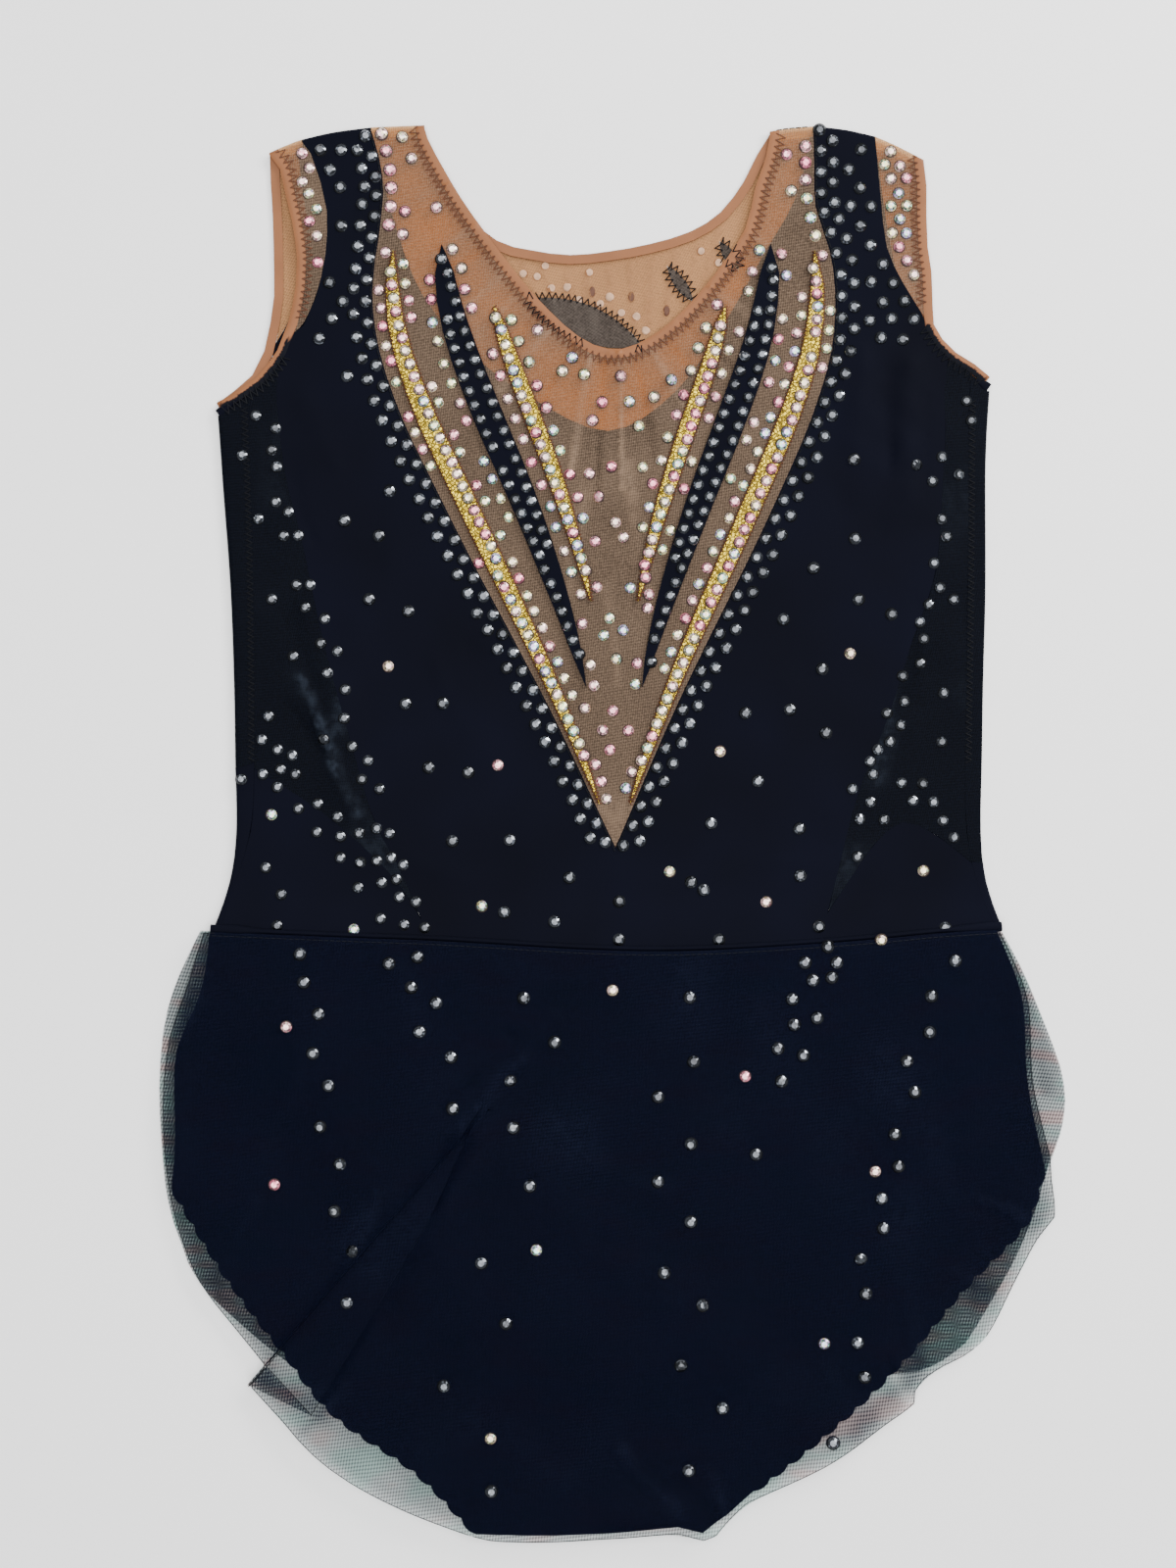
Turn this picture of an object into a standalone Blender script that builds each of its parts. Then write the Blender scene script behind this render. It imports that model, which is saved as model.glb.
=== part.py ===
"""Rhythmic gymnastics leotard with a skirt, laid flat on its back.

Metres, +Z up. The neck points to +Y, the wearer's right side to -X, and the part rests on Z = 0.
All tables are in millimetres, across (X) and along (Y) the laid garment.
Each sewn piece is a cloth wall of its own. Walls lie on each other, one STOREY apart.
"""
import math

import bmesh
import bpy
from mathutils import Vector
from mathutils.geometry import delaunay_2d_cdt, intersect_line_line_2d

# Driving sizes (mm)
WALL = 1.0                        # cloth thickness
GAP = 0.3                         # clearance between two pieces
STOREY = WALL + GAP               # rise from one layer of cloth to the next
ROLL = WALL + GAP / 2             # outer radius where cloth rolls over an edge
BINDING = 3.6                     # width of the folded satin binding
TAIL = 3.0                        # depth of the shoulder seam behind the fold
EDGE_STEP = 9.0                   # spacing of points along a curve
NECK_STEP = 7.0                   # and along the front neck, which bends more
CELL = 10.0                       # spacing of points inside a shaped panel
CLEAR = 0.45                      # share of a cell that those points keep to the outline
NEAR = 0.08                       # share of a segment within which two points are one
SPARE = 0.3                       # share of a segment that a new end clears on its curve
WELD = 0.01                       # distance within which corners are one
ARC_CELLS = 4                     # facets round a rolled edge
FLAT = 0.04                       # a panel is flat where it bends less than this
INSIDE_EDGES = 1                  # the triangulation keeps what its outermost edges enclose
AFAR = 200.0                      # a place across that lies beyond every outline
CENTRE = Vector((-0.75, -0.06))   # middle of the laid outline
MM = 0.001

# Heights of the outer face of the two torso layers above the floor
BACK_FACE = 0.0
FRONT_FACE = STOREY + WALL
STRIPE_FACE = FRONT_FACE + STOREY

# The body climbs over the back of the skirt between these two heights along the garment
CLIMB_TOP = -28.0
CLIMB_END = -38.0
# The skirt comes down off the briefs within this distance of their edge
BRIEF_MARGIN = 4.0
BRIEF_SLOPE = 36.0

# Curves of the cut: (across, along)
SHOULDER_LEFT = ((-146, 274.2), (-129.5, 281.5), (-118, 284.5), (-100, 287), (-76, 288))
SHOULDER_RIGHT = ((61, 285), (81, 287.5), (106, 283.5), (130, 271.8))
ARMHOLE_LEFT = ((-142, 278), (-136, 270), (-134, 261), (-131, 248.5), (-129, 234), (-129.5, 222.5),
                (-132.5, 207.5), (-137, 196), (-145.5, 185), (-154.5, 178.5), (-162, 174.5))
ARMHOLE_RIGHT = ((125.5, 276), (127, 263), (127, 250.5), (127.5, 238), (129, 228), (129.5, 214),
                 (130, 206.5), (133.5, 200.5), (139, 195), (147, 190), (153, 185))
BACK_ARMHOLE_LEFT = ((-142, 278), (-140.2, 274), (-139.9, 264.5), (-139, 249.5), (-138.5, 218.5),
                     (-140, 207.5), (-142.5, 196), (-147.5, 186), (-155, 179.5), (-162, 174.5))
BACK_ARMHOLE_RIGHT = ((125.5, 276), (124.5, 259.5), (125.5, 243.5), (126.5, 227.5), (127.5, 213.5),
                      (129.5, 204.5), (134, 198.5), (140, 193.5), (147, 189.5), (153, 185))
NECK_FRONT = ((-78.5, 290), (-76, 282), (-68.5, 268), (-58.5, 252), (-38.5, 225.5), (-26.5, 212),
              (-14.5, 201.5), (-2.5, 196.5), (9.5, 198.5), (25.5, 209.5), (41.5, 227.5),
              (53.5, 245.5), (57.5, 262), (62, 275), (64, 287))
NECK_BACK = ((-78.5, 290), (-74, 271.5), (-63.5, 254.5), (-48, 241), (-34, 237), (-18, 235),
             (-2, 236.5), (14.5, 239.5), (31, 244.5), (43.5, 252.5), (53, 265), (58.5, 276), (64, 287))
STRAP_LEFT = ((-129.5, 284), (-123.5, 276), (-119.5, 264.5), (-117, 253), (-117.5, 235.5),
              (-121.5, 217.5), (-126.5, 206), (-136, 199))
STRAP_RIGHT = ((106, 286), (107, 275), (108.5, 258.5), (111, 238), (117.5, 223.5), (124, 213),
               (131, 202))
BACK_STRAP_LEFT = ((-129.5, 284), (-127.5, 264.5), (-125.5, 249.5), (-126, 234), (-130, 214),
                   (-140, 196))
BACK_STRAP_RIGHT = ((106, 286), (109.5, 259.5), (112, 243.5), (115.5, 227.5), (121, 214),
                    (130, 202))
V_LEFT = ((-100, 289), (-95.5, 273.5), (-94, 259.5), (-96, 241.5), (-98.5, 219.5), (-95.5, 195.5),
          (-86, 167.5), (-72.5, 139.5), (-57.5, 109.5), (-40.5, 77.5), (-22.5, 42.5), (0.5, -6.5))
V_RIGHT = ((81, 289), (81.5, 270.5), (82, 254.5), (87.5, 237.5), (90, 219.5), (88.5, 195.5),
           (80, 167.5), (68, 139.5), (54, 109.5), (38, 77.5), (21.5, 42.5), (0.5, -6.5))
BACK_SCOOP = ((-100, 289), (-90.5, 251.5), (-78.5, 219.5), (-58.5, 195.5), (-34.5, 177.5),
              (-2.5, 163.5), (25.5, 180), (47.5, 211.5), (61, 235.5), (74.5, 259.5), (81, 289))
MESH_LEFT = ((-134.5, 196), (-137.5, 181.5), (-136.5, 167.5), (-134, 146), (-126.5, 115.5),
             (-119, 80), (-107, 36), (-98, 5.5), (-86.5, -16.5), (-79, -34.5))
BACK_MESH_TOP_LEFT = (-140.5, 200)
MESH_LEFT_LOW = ((-79, -34.5), (-91.5, -16.5), (-118.5, 7.5), (-150, 28))
MESH_RIGHT = ((137, 198), (134.5, 179.5), (135, 163.5), (134, 146), (131, 106), (121.5, 78),
              (112.5, 49.5), (99.5, 16), (92, -12.5), (87, -32.5))
MESH_RIGHT_LOW = ((87, -32.5), (97.5, -17), (105.5, -5.5), (117.5, 4), (131.5, -1.5), (147, -14))
SIDE_SEAM_LEFT = ((-149.5, 188), (-149, 165), (-148, 140), (-147, 100), (-146.5, 28), (-148, 0),
                  (-154, -20), (-159.5, -38))
SIDE_SEAM_RIGHT = ((145.5, 194), (144.5, 165), (144, 100), (143, 28), (143.5, 0), (147.5, -20),
                   (154.5, -38))
SIDE_FOLD_LEFT = ((-161.5, 169.5), (-159.5, 140), (-156.5, 100), (-155, 60), (-154.5, 28),
                  (-154, 0), (-156.5, -20), (-162.5, -38))
SIDE_FOLD_RIGHT = ((153, 179.5), (151.5, 150), (151.5, 100), (150.5, 60), (150, 28), (149.5, 0),
                   (151.5, -20), (157.5, -38))
LEG_LEFT = ((-159.5, -38), (-130, -75), (-95, -125), (-62, -172), (-40, -205))
LEG_RIGHT = ((38, -205), (60, -172), (92, -125), (127, -75), (154.5, -38))
HIP = ((-170, -40.5), (-110.5, -43), (-70.5, -44.5), (-10.5, -48), (29.5, -48.5), (69.5, -46.5),
       (109.5, -43.5), (129.5, -41.5), (160, -39.5))

# Outlines of the three skirt layers, from the left hip round the hem to the right hip
SKIRT_BACK = ((-168, -39), (-174.5, -52.5), (-180, -65.5), (-184, -82.5), (-185.5, -104.5),
              (-184.5, -126.5), (-182, -151), (-176.5, -168), (-169.5, -184), (-150.5, -202.5),
              (-130.5, -218.5), (-102.5, -236.5), (-74.5, -256.5), (-46.5, -276), (-10.5, -280),
              (29.5, -277), (49.5, -266), (69.5, -250.5), (93.5, -234), (111.5, -221.5),
              (123.5, -220), (133.5, -217), (143.5, -208.5), (153.5, -192), (163.5, -174.5),
              (172, -153.5), (175, -142.5), (182, -123.5), (184, -110), (182, -96), (172.5, -71),
              (165.5, -54.5), (156.5, -38))
UNDER_LEFT = ((-164, -39), (-166.5, -60.5), (-172, -75), (-177.5, -86.5), (-179, -100.5),
              (-178.5, -126.5), (-180, -144.5))
UNDER_HEM_LEFT = ((-180, -144.5), (-158.5, -179.5), (-136, -209.5), (-112.5, -238),
                  (-80.5, -260.5), (-56, -286))
UNDER_BOTTOM = ((-56, -286), (-26.5, -286.5), (5.5, -285), (26, -283), (36, -285.5),
                (46.5, -277.5), (56.5, -268.5))
UNDER_HEM_RIGHT = ((56.5, -268.5), (80.5, -249.5), (102.5, -230), (119.5, -212.5), (143.5, -184),
                   (166.5, -160), (175, -136.5))
UNDER_RIGHT = ((175, -136.5), (168, -101.5), (166.5, -71), (161.5, -54.5), (154, -38))
FRONT_LEFT = ((-166, -39), (-172.5, -60.5), (-179.5, -79), (-182.5, -94.5), (-183.5, -112.5),
              (-182.5, -132.5), (-180, -151), (-175, -168), (-168, -184), (-156, -199.5),
              (-142.5, -216))
FRONT_HEM = ((-134.5, -239), (-122.5, -252.5), (-106.5, -264.5), (-82.5, -276.5), (-58.5, -285.5),
             (-50.5, -287.5), (-26.5, -288), (5.5, -286), (26, -284), (36, -287), (41, -285.5),
             (47, -278.5), (53.5, -272.5), (70, -265), (85.5, -257.5), (102.5, -246), (122, -232.5),
             (122, -226.5), (125.5, -222), (134, -217), (149.5, -208), (161.5, -185.5),
             (172.5, -164.5), (179, -156.5))
FRONT_RIGHT = ((179, -156.5), (179, -150.5), (177.5, -140.5), (177.5, -133.5), (170, -101.5),
               (168.5, -71), (163, -54.5), (155, -38))
SCALLOP = 9.0                     # pitch of the scallops on the under layer
SCALLOP_DEPTH = 1.6
SCALLOP_STEP = 3.0
SCALLOP_CORNERS = 4

# The skirt's diagonal pleat: the right side lies over the left one
PLEAT_APEX = Vector((-40.0, -99.5))
PLEAT_TIP = Vector((-148.0, -225.0))       # end of the upper fold, on the hem
PLEAT_HEEL = Vector((-123.0, -237.0))      # end of the hidden fold, on the hem
PLEAT_START = 8.0                 # distance from the apex where the pleat begins to turn
PLEAT_FULL = 40.0                 # and where it is folded flat
PLEAT_OPEN = 65.0                 # and where it has its full depth
PLEAT_ROWS = 19
PLEAT_BEND = math.pi * (STOREY / 2)        # length of cloth in each bend
PLEAT_ARC = 5                     # facets round each bend
PLEAT_SLOPE = 38.0                # the upper side comes down within this width
PLEAT_SHALLOW = 0.05              # least share of the pleat's depth, near its apex
PLEAT_LIP = 3.0                   # the upper side stays level this far past the hidden fold
LEAST_TURN = 1e-3                 # least angle of a bend, which keeps its radius finite
CUT_TOP = Vector((-44.0, -30.0))  # where the two halves of the skirt meet at the hip
HIP_STEP = 3.0                    # the first points of a side keep this far below the hip

# Soft ridges: start across, along, end across, along, height, half width, on
RIDGES = (
    (120.5, 186.0, 119.0, 132.0, 2.6, 9.0, "torso"),
    (99.0, 190.0, 103.0, 140.0, 1.6, 9.0, "torso"),
    (-118.0, 68.0, -106.0, 12.0, 1.2, 7.0, "torso"),
    (-58.0, -134.0, -74.0, -166.0, 1.8, 9.0, "skirt"),
    (150.0, -128.0, 166.0, -152.0, 1.6, 8.0, "skirt"),
    (4.0, -276.0, 36.0, -281.0, 3.0, 8.0, "skirt"),
    (112.0, -214.0, 121.0, -226.0, 1.8, 7.0, "skirt"),
)

# Tapered stripes, mirrored about the V: name, top and foot as shares of the V's height, their
# places as shares of the way from its edge to its middle, and full width
STRIPES = (
    ("gold_long", 0.03, 0.93, 0.07, 0.22, 9.5),
    ("navy_long", 0.02, 0.74, 0.27, 0.62, 15.0),
    ("gold_short", 0.12, 0.60, 0.50, 0.80, 8.0),
)
STRIPE_TOP = 244.0                # where the V's height begins
STRIPE_STEPS = 16
STRIPE_SIDES = (("left", V_LEFT), ("right", V_RIGHT))

# Leaf shapes set into the back yoke: name, across, along, half length, half width, tilt (degrees)
BACK_LEAVES = (
    ("back_leaf_large", -12.0, 207.5, 26.0, 7.5, -22.0),
    ("back_leaf_middle", 27.0, 223.5, 9.0, 2.4, -54.0),
    ("back_leaf_small", 47.0, 235.0, 7.0, 2.4, -56.0),
)
LEAF_STEPS = 8

# Colour, roughness, metallic and alpha of the cloths
CLOTHS = {
    "navy": ((0.006, 0.008, 0.020), 0.55, 0.0, 1.0),
    "black_mesh": ((0.008, 0.012, 0.022), 0.7, 0.0, 0.85),
    "nude_mesh": ((0.45, 0.25, 0.14), 0.75, 0.0, 0.8),
    "satin": ((0.58, 0.30, 0.16), 0.4, 0.0, 1.0),
    "gold": ((0.60, 0.43, 0.10), 0.3, 0.9, 1.0),
    "skirt_opaque": ((0.006, 0.010, 0.026), 0.6, 0.0, 1.0),
    "skirt_sheer": ((0.012, 0.020, 0.030), 0.7, 0.0, 0.5),
}


def points_of(rows):
    """Turn a table's rows into points."""
    return [Vector(row) for row in rows]


def shifted(curve, across, along):
    """Move a curve in the plane."""
    return [point + Vector((across, along)) for point in curve]


def smooth(rows, step=EDGE_STEP):
    """Run a smooth curve through the rows of a table."""
    knots = points_of(rows)
    padded = [knots[0] * 2 - knots[1], *knots, knots[-1] * 2 - knots[-2]]
    curve = []
    for i in range(1, len(padded) - 2):
        before, start, end, after = padded[i - 1:i + 3]
        pieces = max(1, round((end - start).length / step))
        for k in range(pieces):
            t = k / pieces
            curve.append(0.5 * (2 * start + (end - before) * t
                                + (2 * before - 5 * start + 4 * end - after) * t ** 2
                                + (3 * start - before - 3 * end + after) * t ** 3))
    curve.append(knots[-1])
    return curve


def offset(curve, width):
    """Move an open curve to its left by a width, or to its right if that is negative."""
    moved = []
    for i, here in enumerate(curve):
        ahead = (curve[min(i + 1, len(curve) - 1)] - here)
        behind = (here - curve[max(i - 1, 0)])
        along = (ahead.normalized() + behind.normalized()).normalized()
        moved.append(here + Vector((-along.y, along.x)) * width)
    return moved


def crossing(curve_a, curve_b):
    """The point where two curves cross."""
    for a, b in zip(curve_a, curve_a[1:]):
        for c, d in zip(curve_b, curve_b[1:]):
            point = intersect_line_line_2d(a, b, c, d)
            if point is not None:
                return Vector(point[:2])
    raise ValueError("two curves of the cut do not cross")


def place_on(curve, point):
    """How far along a curve its nearest place to a point is, counted in its segments."""
    best = (math.inf, 0.0)
    for i, (a, b) in enumerate(zip(curve, curve[1:])):
        run = b - a
        t = min(1.0, max(0.0, (point - a).dot(run) / run.length_squared))
        best = min(best, ((a + run * t - point).length, i + t))
    return best[1]


def stretch(curve, start, end):
    """The part of a curve from one point on it to another, in that direction."""
    first, last = place_on(curve, start), place_on(curve, end)
    if first > last:
        return stretch(curve, end, start)[::-1]
    between = [curve[i] for i in range(len(curve)) if first + NEAR < i < last - NEAR]
    return [start, *between, end]


def evenly(curve, count):
    """Points at equal distances along a curve."""
    lengths = [0.0]
    for a, b in zip(curve, curve[1:]):
        lengths.append(lengths[-1] + (b - a).length)
    spaced = []
    for k in range(count):
        goal = lengths[-1] * k / (count - 1)
        i = next(i for i in range(1, len(curve)) if lengths[i] >= goal - 1e-6)
        t = (goal - lengths[i - 1]) / (lengths[i] - lengths[i - 1])
        spaced.append(curve[i - 1].lerp(curve[i], t))
    return spaced


def soft_step(value):
    """Rise smoothly from 0 to 1."""
    value = min(1.0, max(0.0, value))
    return value * value * (3 - 2 * value)


def level_line(height):
    """A line across the whole garment at a height along it."""
    return [Vector((-AFAR, height)), Vector((AFAR, height))]


def to_segment(point, a, b):
    """Distance from a point to a straight stretch."""
    run = b - a
    t = min(1.0, max(0.0, (point - a).dot(run) / run.length_squared))
    return (a + run * t - point).length


def to_loops(point, loops):
    """Distance from a point to the nearest edge of closed loops."""
    return min(to_segment(point, loop[i - 1], loop[i]) for loop in loops for i in range(len(loop)))


def inside(point, loops):
    """Whether a point lies within an outline and outside its holes."""
    crossings = 0
    for loop in loops:
        for i, here in enumerate(loop):
            last = loop[i - 1]
            if (here.y > point.y) != (last.y > point.y):
                across = last.x + (point.y - last.y) / (here.y - last.y) * (here.x - last.x)
                crossings += across > point.x
    return crossings % 2 == 1


def ridge_height(point, where):
    """Height that the soft ridges add at a point."""
    total = 0.0
    for x1, y1, x2, y2, height, half, on in RIDGES:
        if on == where:
            away = to_segment(point, Vector((x1, y1)), Vector((x2, y2))) / half
            total += height * math.exp(-away * away * 2)
    return total if total > FLAT else 0.0


def climb(point):
    """Height that the skirt's back lifts the body by."""
    return STOREY * min(1.0, max(0.0, (CLIMB_TOP - point.y) / (CLIMB_TOP - CLIMB_END)))


def back_height(point):
    """Outer face of the back pieces."""
    return BACK_FACE + climb(point)


def front_height(point):
    """Outer face of the front pieces."""
    return FRONT_FACE + climb(point) + ridge_height(point, "torso")


def brief_loop():
    """Outline of the briefs below the hip."""
    top = points_of(((154.5, 0.0), (-159.5, 0.0)))
    return smooth(LEG_LEFT) + smooth(LEG_RIGHT) + top


BRIEFS = [brief_loop()]


def over_briefs(point):
    """Height that the briefs lift the skirt's front by."""
    if inside(point, BRIEFS):
        return 2 * STOREY
    away = to_loops(point, BRIEFS) - BRIEF_MARGIN
    return 2 * STOREY * (1 - soft_step(away / BRIEF_SLOPE))


def under_height(point):
    """Upper face of the skirt's opaque layer."""
    return STOREY + WALL + over_briefs(point)


def skirt_height(point):
    """Middle of the skirt's sheer front layer."""
    ridges = ridge_height(point, "skirt")
    return 2 * STOREY + WALL / 2 + over_briefs(point) + ridges


def pleat_depth(distance):
    """Distance from the upper fold back to the hidden one."""
    fold = (PLEAT_TIP - PLEAT_APEX).angle(PLEAT_HEEL - PLEAT_APEX)
    return distance * fold * max(PLEAT_SHALLOW, soft_step((distance - PLEAT_START) / PLEAT_OPEN))


def pleat_turn(distance):
    """Angle that the cloth turns by at each fold, from 0 to half a turn."""
    return math.pi * soft_step((distance - PLEAT_START) / (PLEAT_FULL - PLEAT_START))


def pleat_rise(distance):
    """Height of the upper side of the pleat over the lower one."""
    turn = pleat_turn(distance)
    if turn < LEAST_TURN:
        return 0.0
    radius = PLEAT_BEND / turn
    return 2 * radius * (1 - math.cos(turn)) + pleat_depth(distance) * math.sin(turn)


def upper_height(point):
    """Middle of the skirt's front on the upper side of the pleat."""
    along = (PLEAT_TIP - PLEAT_APEX).normalized()
    heel = (PLEAT_HEEL - PLEAT_APEX).normalized()
    away = point - PLEAT_APEX
    beyond = away.x * -heel.y + away.y * heel.x
    fade = 1 - soft_step((-PLEAT_LIP - beyond) / PLEAT_SLOPE)
    return skirt_height(point) + pleat_rise(away.dot(along)) * fade


def inset(points, widths):
    """Move each edge of an anticlockwise outline inwards by its width."""
    moved = []
    for i, here in enumerate(points):
        before = (here - points[i - 1]).normalized()
        after = (points[(i + 1) % len(points)] - here).normalized()
        left_a, left_b = Vector((-before.y, before.x)), Vector((-after.y, after.x))
        width_a, width_b = widths[i - 1], widths[i]
        bend = left_a.dot(left_b)
        if bend > 0.95:
            shift = (left_a * width_a + left_b * width_b) / 2
        else:
            shift = (left_a * (width_a - width_b * bend) + left_b * (width_b - width_a * bend)) \
                / max(0.01, 1 - bend * bend)
        moved.append(here + shift)
    return moved


def cut_out(*edges):
    """Join (curve, seam) edges into an outline; the curve of each edge comes back with it."""
    points, widths, spans = [], [], []
    for curve, seam in edges:
        spans.append((len(points), len(points) + len(curve) - 1))
        points += curve[:-1]
        widths += [GAP / 2 if seam else 0.0] * (len(curve) - 1)
    moved = inset(points, widths)
    return moved, [[moved[i % len(moved)] for i in range(a, b + 1)] for a, b in spans]


def shaped_points(loops, height):
    """Points inside an outline where its surface isn't flat, on a lattice shared by all pieces."""
    xs = [point.x for point in loops[0]]
    ys = [point.y for point in loops[0]]
    rise = CELL * math.sqrt(3) / 2
    found = []
    for row in range(math.floor(min(ys) / rise), math.ceil(max(ys) / rise) + 1):
        for column in range(math.floor(min(xs) / CELL) - 1, math.ceil(max(xs) / CELL) + 1):
            point = Vector(((column + 0.5 * (row % 2)) * CELL, row * rise))
            if not inside(point, loops) or to_loops(point, loops) < CELL * CLEAR:
                continue
            level = height(point)
            slant = CELL * math.sqrt(0.5)
            steps = (Vector((CELL, 0)), Vector((0, CELL)), Vector((slant, slant)),
                     Vector((slant, -slant)))
            bent = max(abs(height(point + d) + height(point - d) - 2 * level) for d in steps)
            if bent > FLAT:
                found.append(point)
    return found


def fill(mesh, loops, height):
    """Fill an outline and its holes with triangles facing up."""
    points, edges = [], []
    for loop in loops:
        first = len(points)
        points += loop
        edges += [(first + i, first + (i + 1) % len(loop)) for i in range(len(loop))]
    points += shaped_points(loops, height)
    flat, _, triangles, *_ = delaunay_2d_cdt(points, edges, [], INSIDE_EDGES, 1e-4)
    corners = [mesh.verts.new((*point, height(point))) for point in flat]
    for triangle in triangles:
        middle = sum((flat[i] for i in triangle), Vector((0, 0))) / 3
        if not inside(middle, loops[1:]):
            mesh.faces.new([corners[i] for i in triangle])


def bridge(mesh, rows):
    """Join rows of points with quads."""
    grid = [[mesh.verts.new(point) for point in row] for row in rows]
    for row, following in zip(grid, grid[1:]):
        for k in range(len(row) - 1):
            mesh.faces.new((row[k], row[k + 1], following[k + 1], following[k]))


def rolled(mesh, edge, outwards, height, climbs, ends=None):
    """Roll cloth over an edge, up or down, and run it back to its ends."""
    turn = 2 * ROLL if climbs else -2 * ROLL
    rows = []
    for i, point in enumerate(edge):
        level = height(point)
        row = []
        for k in range(ARC_CELLS + 1):
            angle = math.pi * k / ARC_CELLS
            place = point + outwards * ROLL * math.sin(angle)
            row.append((*place, level + turn * (1 - math.cos(angle)) / 2))
        if ends:
            row.append((*ends[i], height(ends[i]) + turn))
        rows.append(row)
    bridge(mesh, rows)


def make_cloth(name, cloth, mesh, faces_up=True, side=-1.0):
    """Weld a surface, give it its wall and its material, and put it in the collection."""
    bmesh.ops.remove_doubles(mesh, verts=mesh.verts, dist=WELD)
    loose = [vertex for vertex in mesh.verts if not vertex.link_faces]
    bmesh.ops.delete(mesh, geom=loose, context="VERTS")
    bmesh.ops.recalc_face_normals(mesh, faces=mesh.faces)
    mesh.faces.ensure_lookup_table()
    if (mesh.faces[0].normal.z > 0) != faces_up:
        bmesh.ops.reverse_faces(mesh, faces=mesh.faces)
    for vertex in mesh.verts:
        vertex.co.x -= CENTRE.x
        vertex.co.y -= CENTRE.y
        vertex.co *= MM
    data = bpy.data.meshes.new(name)
    mesh.to_mesh(data)
    mesh.free()
    data.materials.append(cloth_material(cloth))
    piece = bpy.data.objects.new(name, data)
    LEOTARD.objects.link(piece)
    wall = piece.modifiers.new("wall", "SOLIDIFY")
    wall.thickness = WALL * MM
    wall.offset = side
    wall.use_even_offset = True
    wall.use_quality_normals = True
    return piece


def cloth_material(cloth):
    """The material of one cloth, made once."""
    if cloth in bpy.data.materials:
        return bpy.data.materials[cloth]
    colour, roughness, metallic, alpha = CLOTHS[cloth]
    material = bpy.data.materials.new(cloth)
    material.use_nodes = True
    shader = material.node_tree.nodes["Principled BSDF"]
    shader.inputs["Base Color"].default_value = (*colour, 1.0)
    shader.inputs["Roughness"].default_value = roughness
    shader.inputs["Metallic"].default_value = metallic
    shader.inputs["Alpha"].default_value = alpha
    return material


class Cut:
    """Curves of the cut that neighbouring pieces share."""

    def __init__(self):
        self.shoulder = {"left": shifted(smooth(SHOULDER_LEFT), 0, -ROLL),
                         "right": shifted(smooth(SHOULDER_RIGHT), 0, -ROLL)}
        self.back_seam = {side: shifted(curve, 0, -TAIL) for side, curve in self.shoulder.items()}
        self.neck = {"front": smooth(NECK_FRONT, NECK_STEP), "back": smooth(NECK_BACK)}
        self.neck_in = {face: offset(curve, -BINDING) for face, curve in self.neck.items()}
        self.armhole = {("front", "left"): smooth(ARMHOLE_LEFT),
                        ("front", "right"): smooth(ARMHOLE_RIGHT),
                        ("back", "left"): smooth(BACK_ARMHOLE_LEFT),
                        ("back", "right"): smooth(BACK_ARMHOLE_RIGHT)}
        self.armhole_in = {key: offset(curve, BINDING if key[1] == "left" else -BINDING)
                           for key, curve in self.armhole.items()}
        self.strap = {("front", "left"): smooth(STRAP_LEFT), ("front", "right"): smooth(STRAP_RIGHT),
                      ("back", "left"): smooth(BACK_STRAP_LEFT),
                      ("back", "right"): smooth(BACK_STRAP_RIGHT)}
        self.mesh = {("front", "left"): smooth(MESH_LEFT), ("front", "right"): smooth(MESH_RIGHT),
                     ("back", "left"): smooth((BACK_MESH_TOP_LEFT, *MESH_LEFT[1:])),
                     ("back", "right"): smooth(MESH_RIGHT)}
        self.mesh_low = {"left": smooth(MESH_LEFT_LOW), "right": smooth(MESH_RIGHT_LOW)}
        self.seam = {"left": smooth(SIDE_SEAM_LEFT), "right": smooth(SIDE_SEAM_RIGHT)}
        self.fold = {"left": shifted(smooth(SIDE_FOLD_LEFT), ROLL, 0),
                     "right": shifted(smooth(SIDE_FOLD_RIGHT), -ROLL, 0)}
        self.yoke = {"left": smooth(V_LEFT), "right": smooth(V_RIGHT)}
        self.scoop = smooth(BACK_SCOOP)

    def top(self, face, side):
        """The line where a face's pieces end at the shoulder."""
        return self.shoulder[side] if face == "front" else self.back_seam[side]


CUT = Cut()
OUTWARDS = {"left": Vector((-1.0, 0.0)), "right": Vector((1.0, 0.0)), "up": Vector((0.0, 1.0))}


def shoulder_roll(mesh, edge):
    """Roll a front piece over the shoulder to its seam on the back."""
    ends = [point - Vector((0.0, TAIL - GAP)) for point in edge]
    rolled(mesh, edge, OUTWARDS["up"], front_height, False, ends)


def straps_and_sides(face, side):
    """Corners of one side of the body, from the shoulder down to the side seam."""
    strap, arm = CUT.strap[face, side], CUT.armhole_in[face, side]
    mesh, low, seam = CUT.mesh[face, side], CUT.mesh_low[side], CUT.seam[side]
    top = crossing(strap, CUT.top(face, side))
    at_arm = crossing(strap, arm)
    at_mesh = crossing(mesh, arm)
    at_seam = crossing(low, seam)
    return {
        "strap": stretch(strap, top, at_arm),
        "arm": stretch(arm, at_arm, at_mesh),
        "mesh": stretch(mesh, at_mesh, mesh[-1]),
        "low": stretch(low, low[0], at_seam),
        "at_seam": at_seam,
    }


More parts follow.
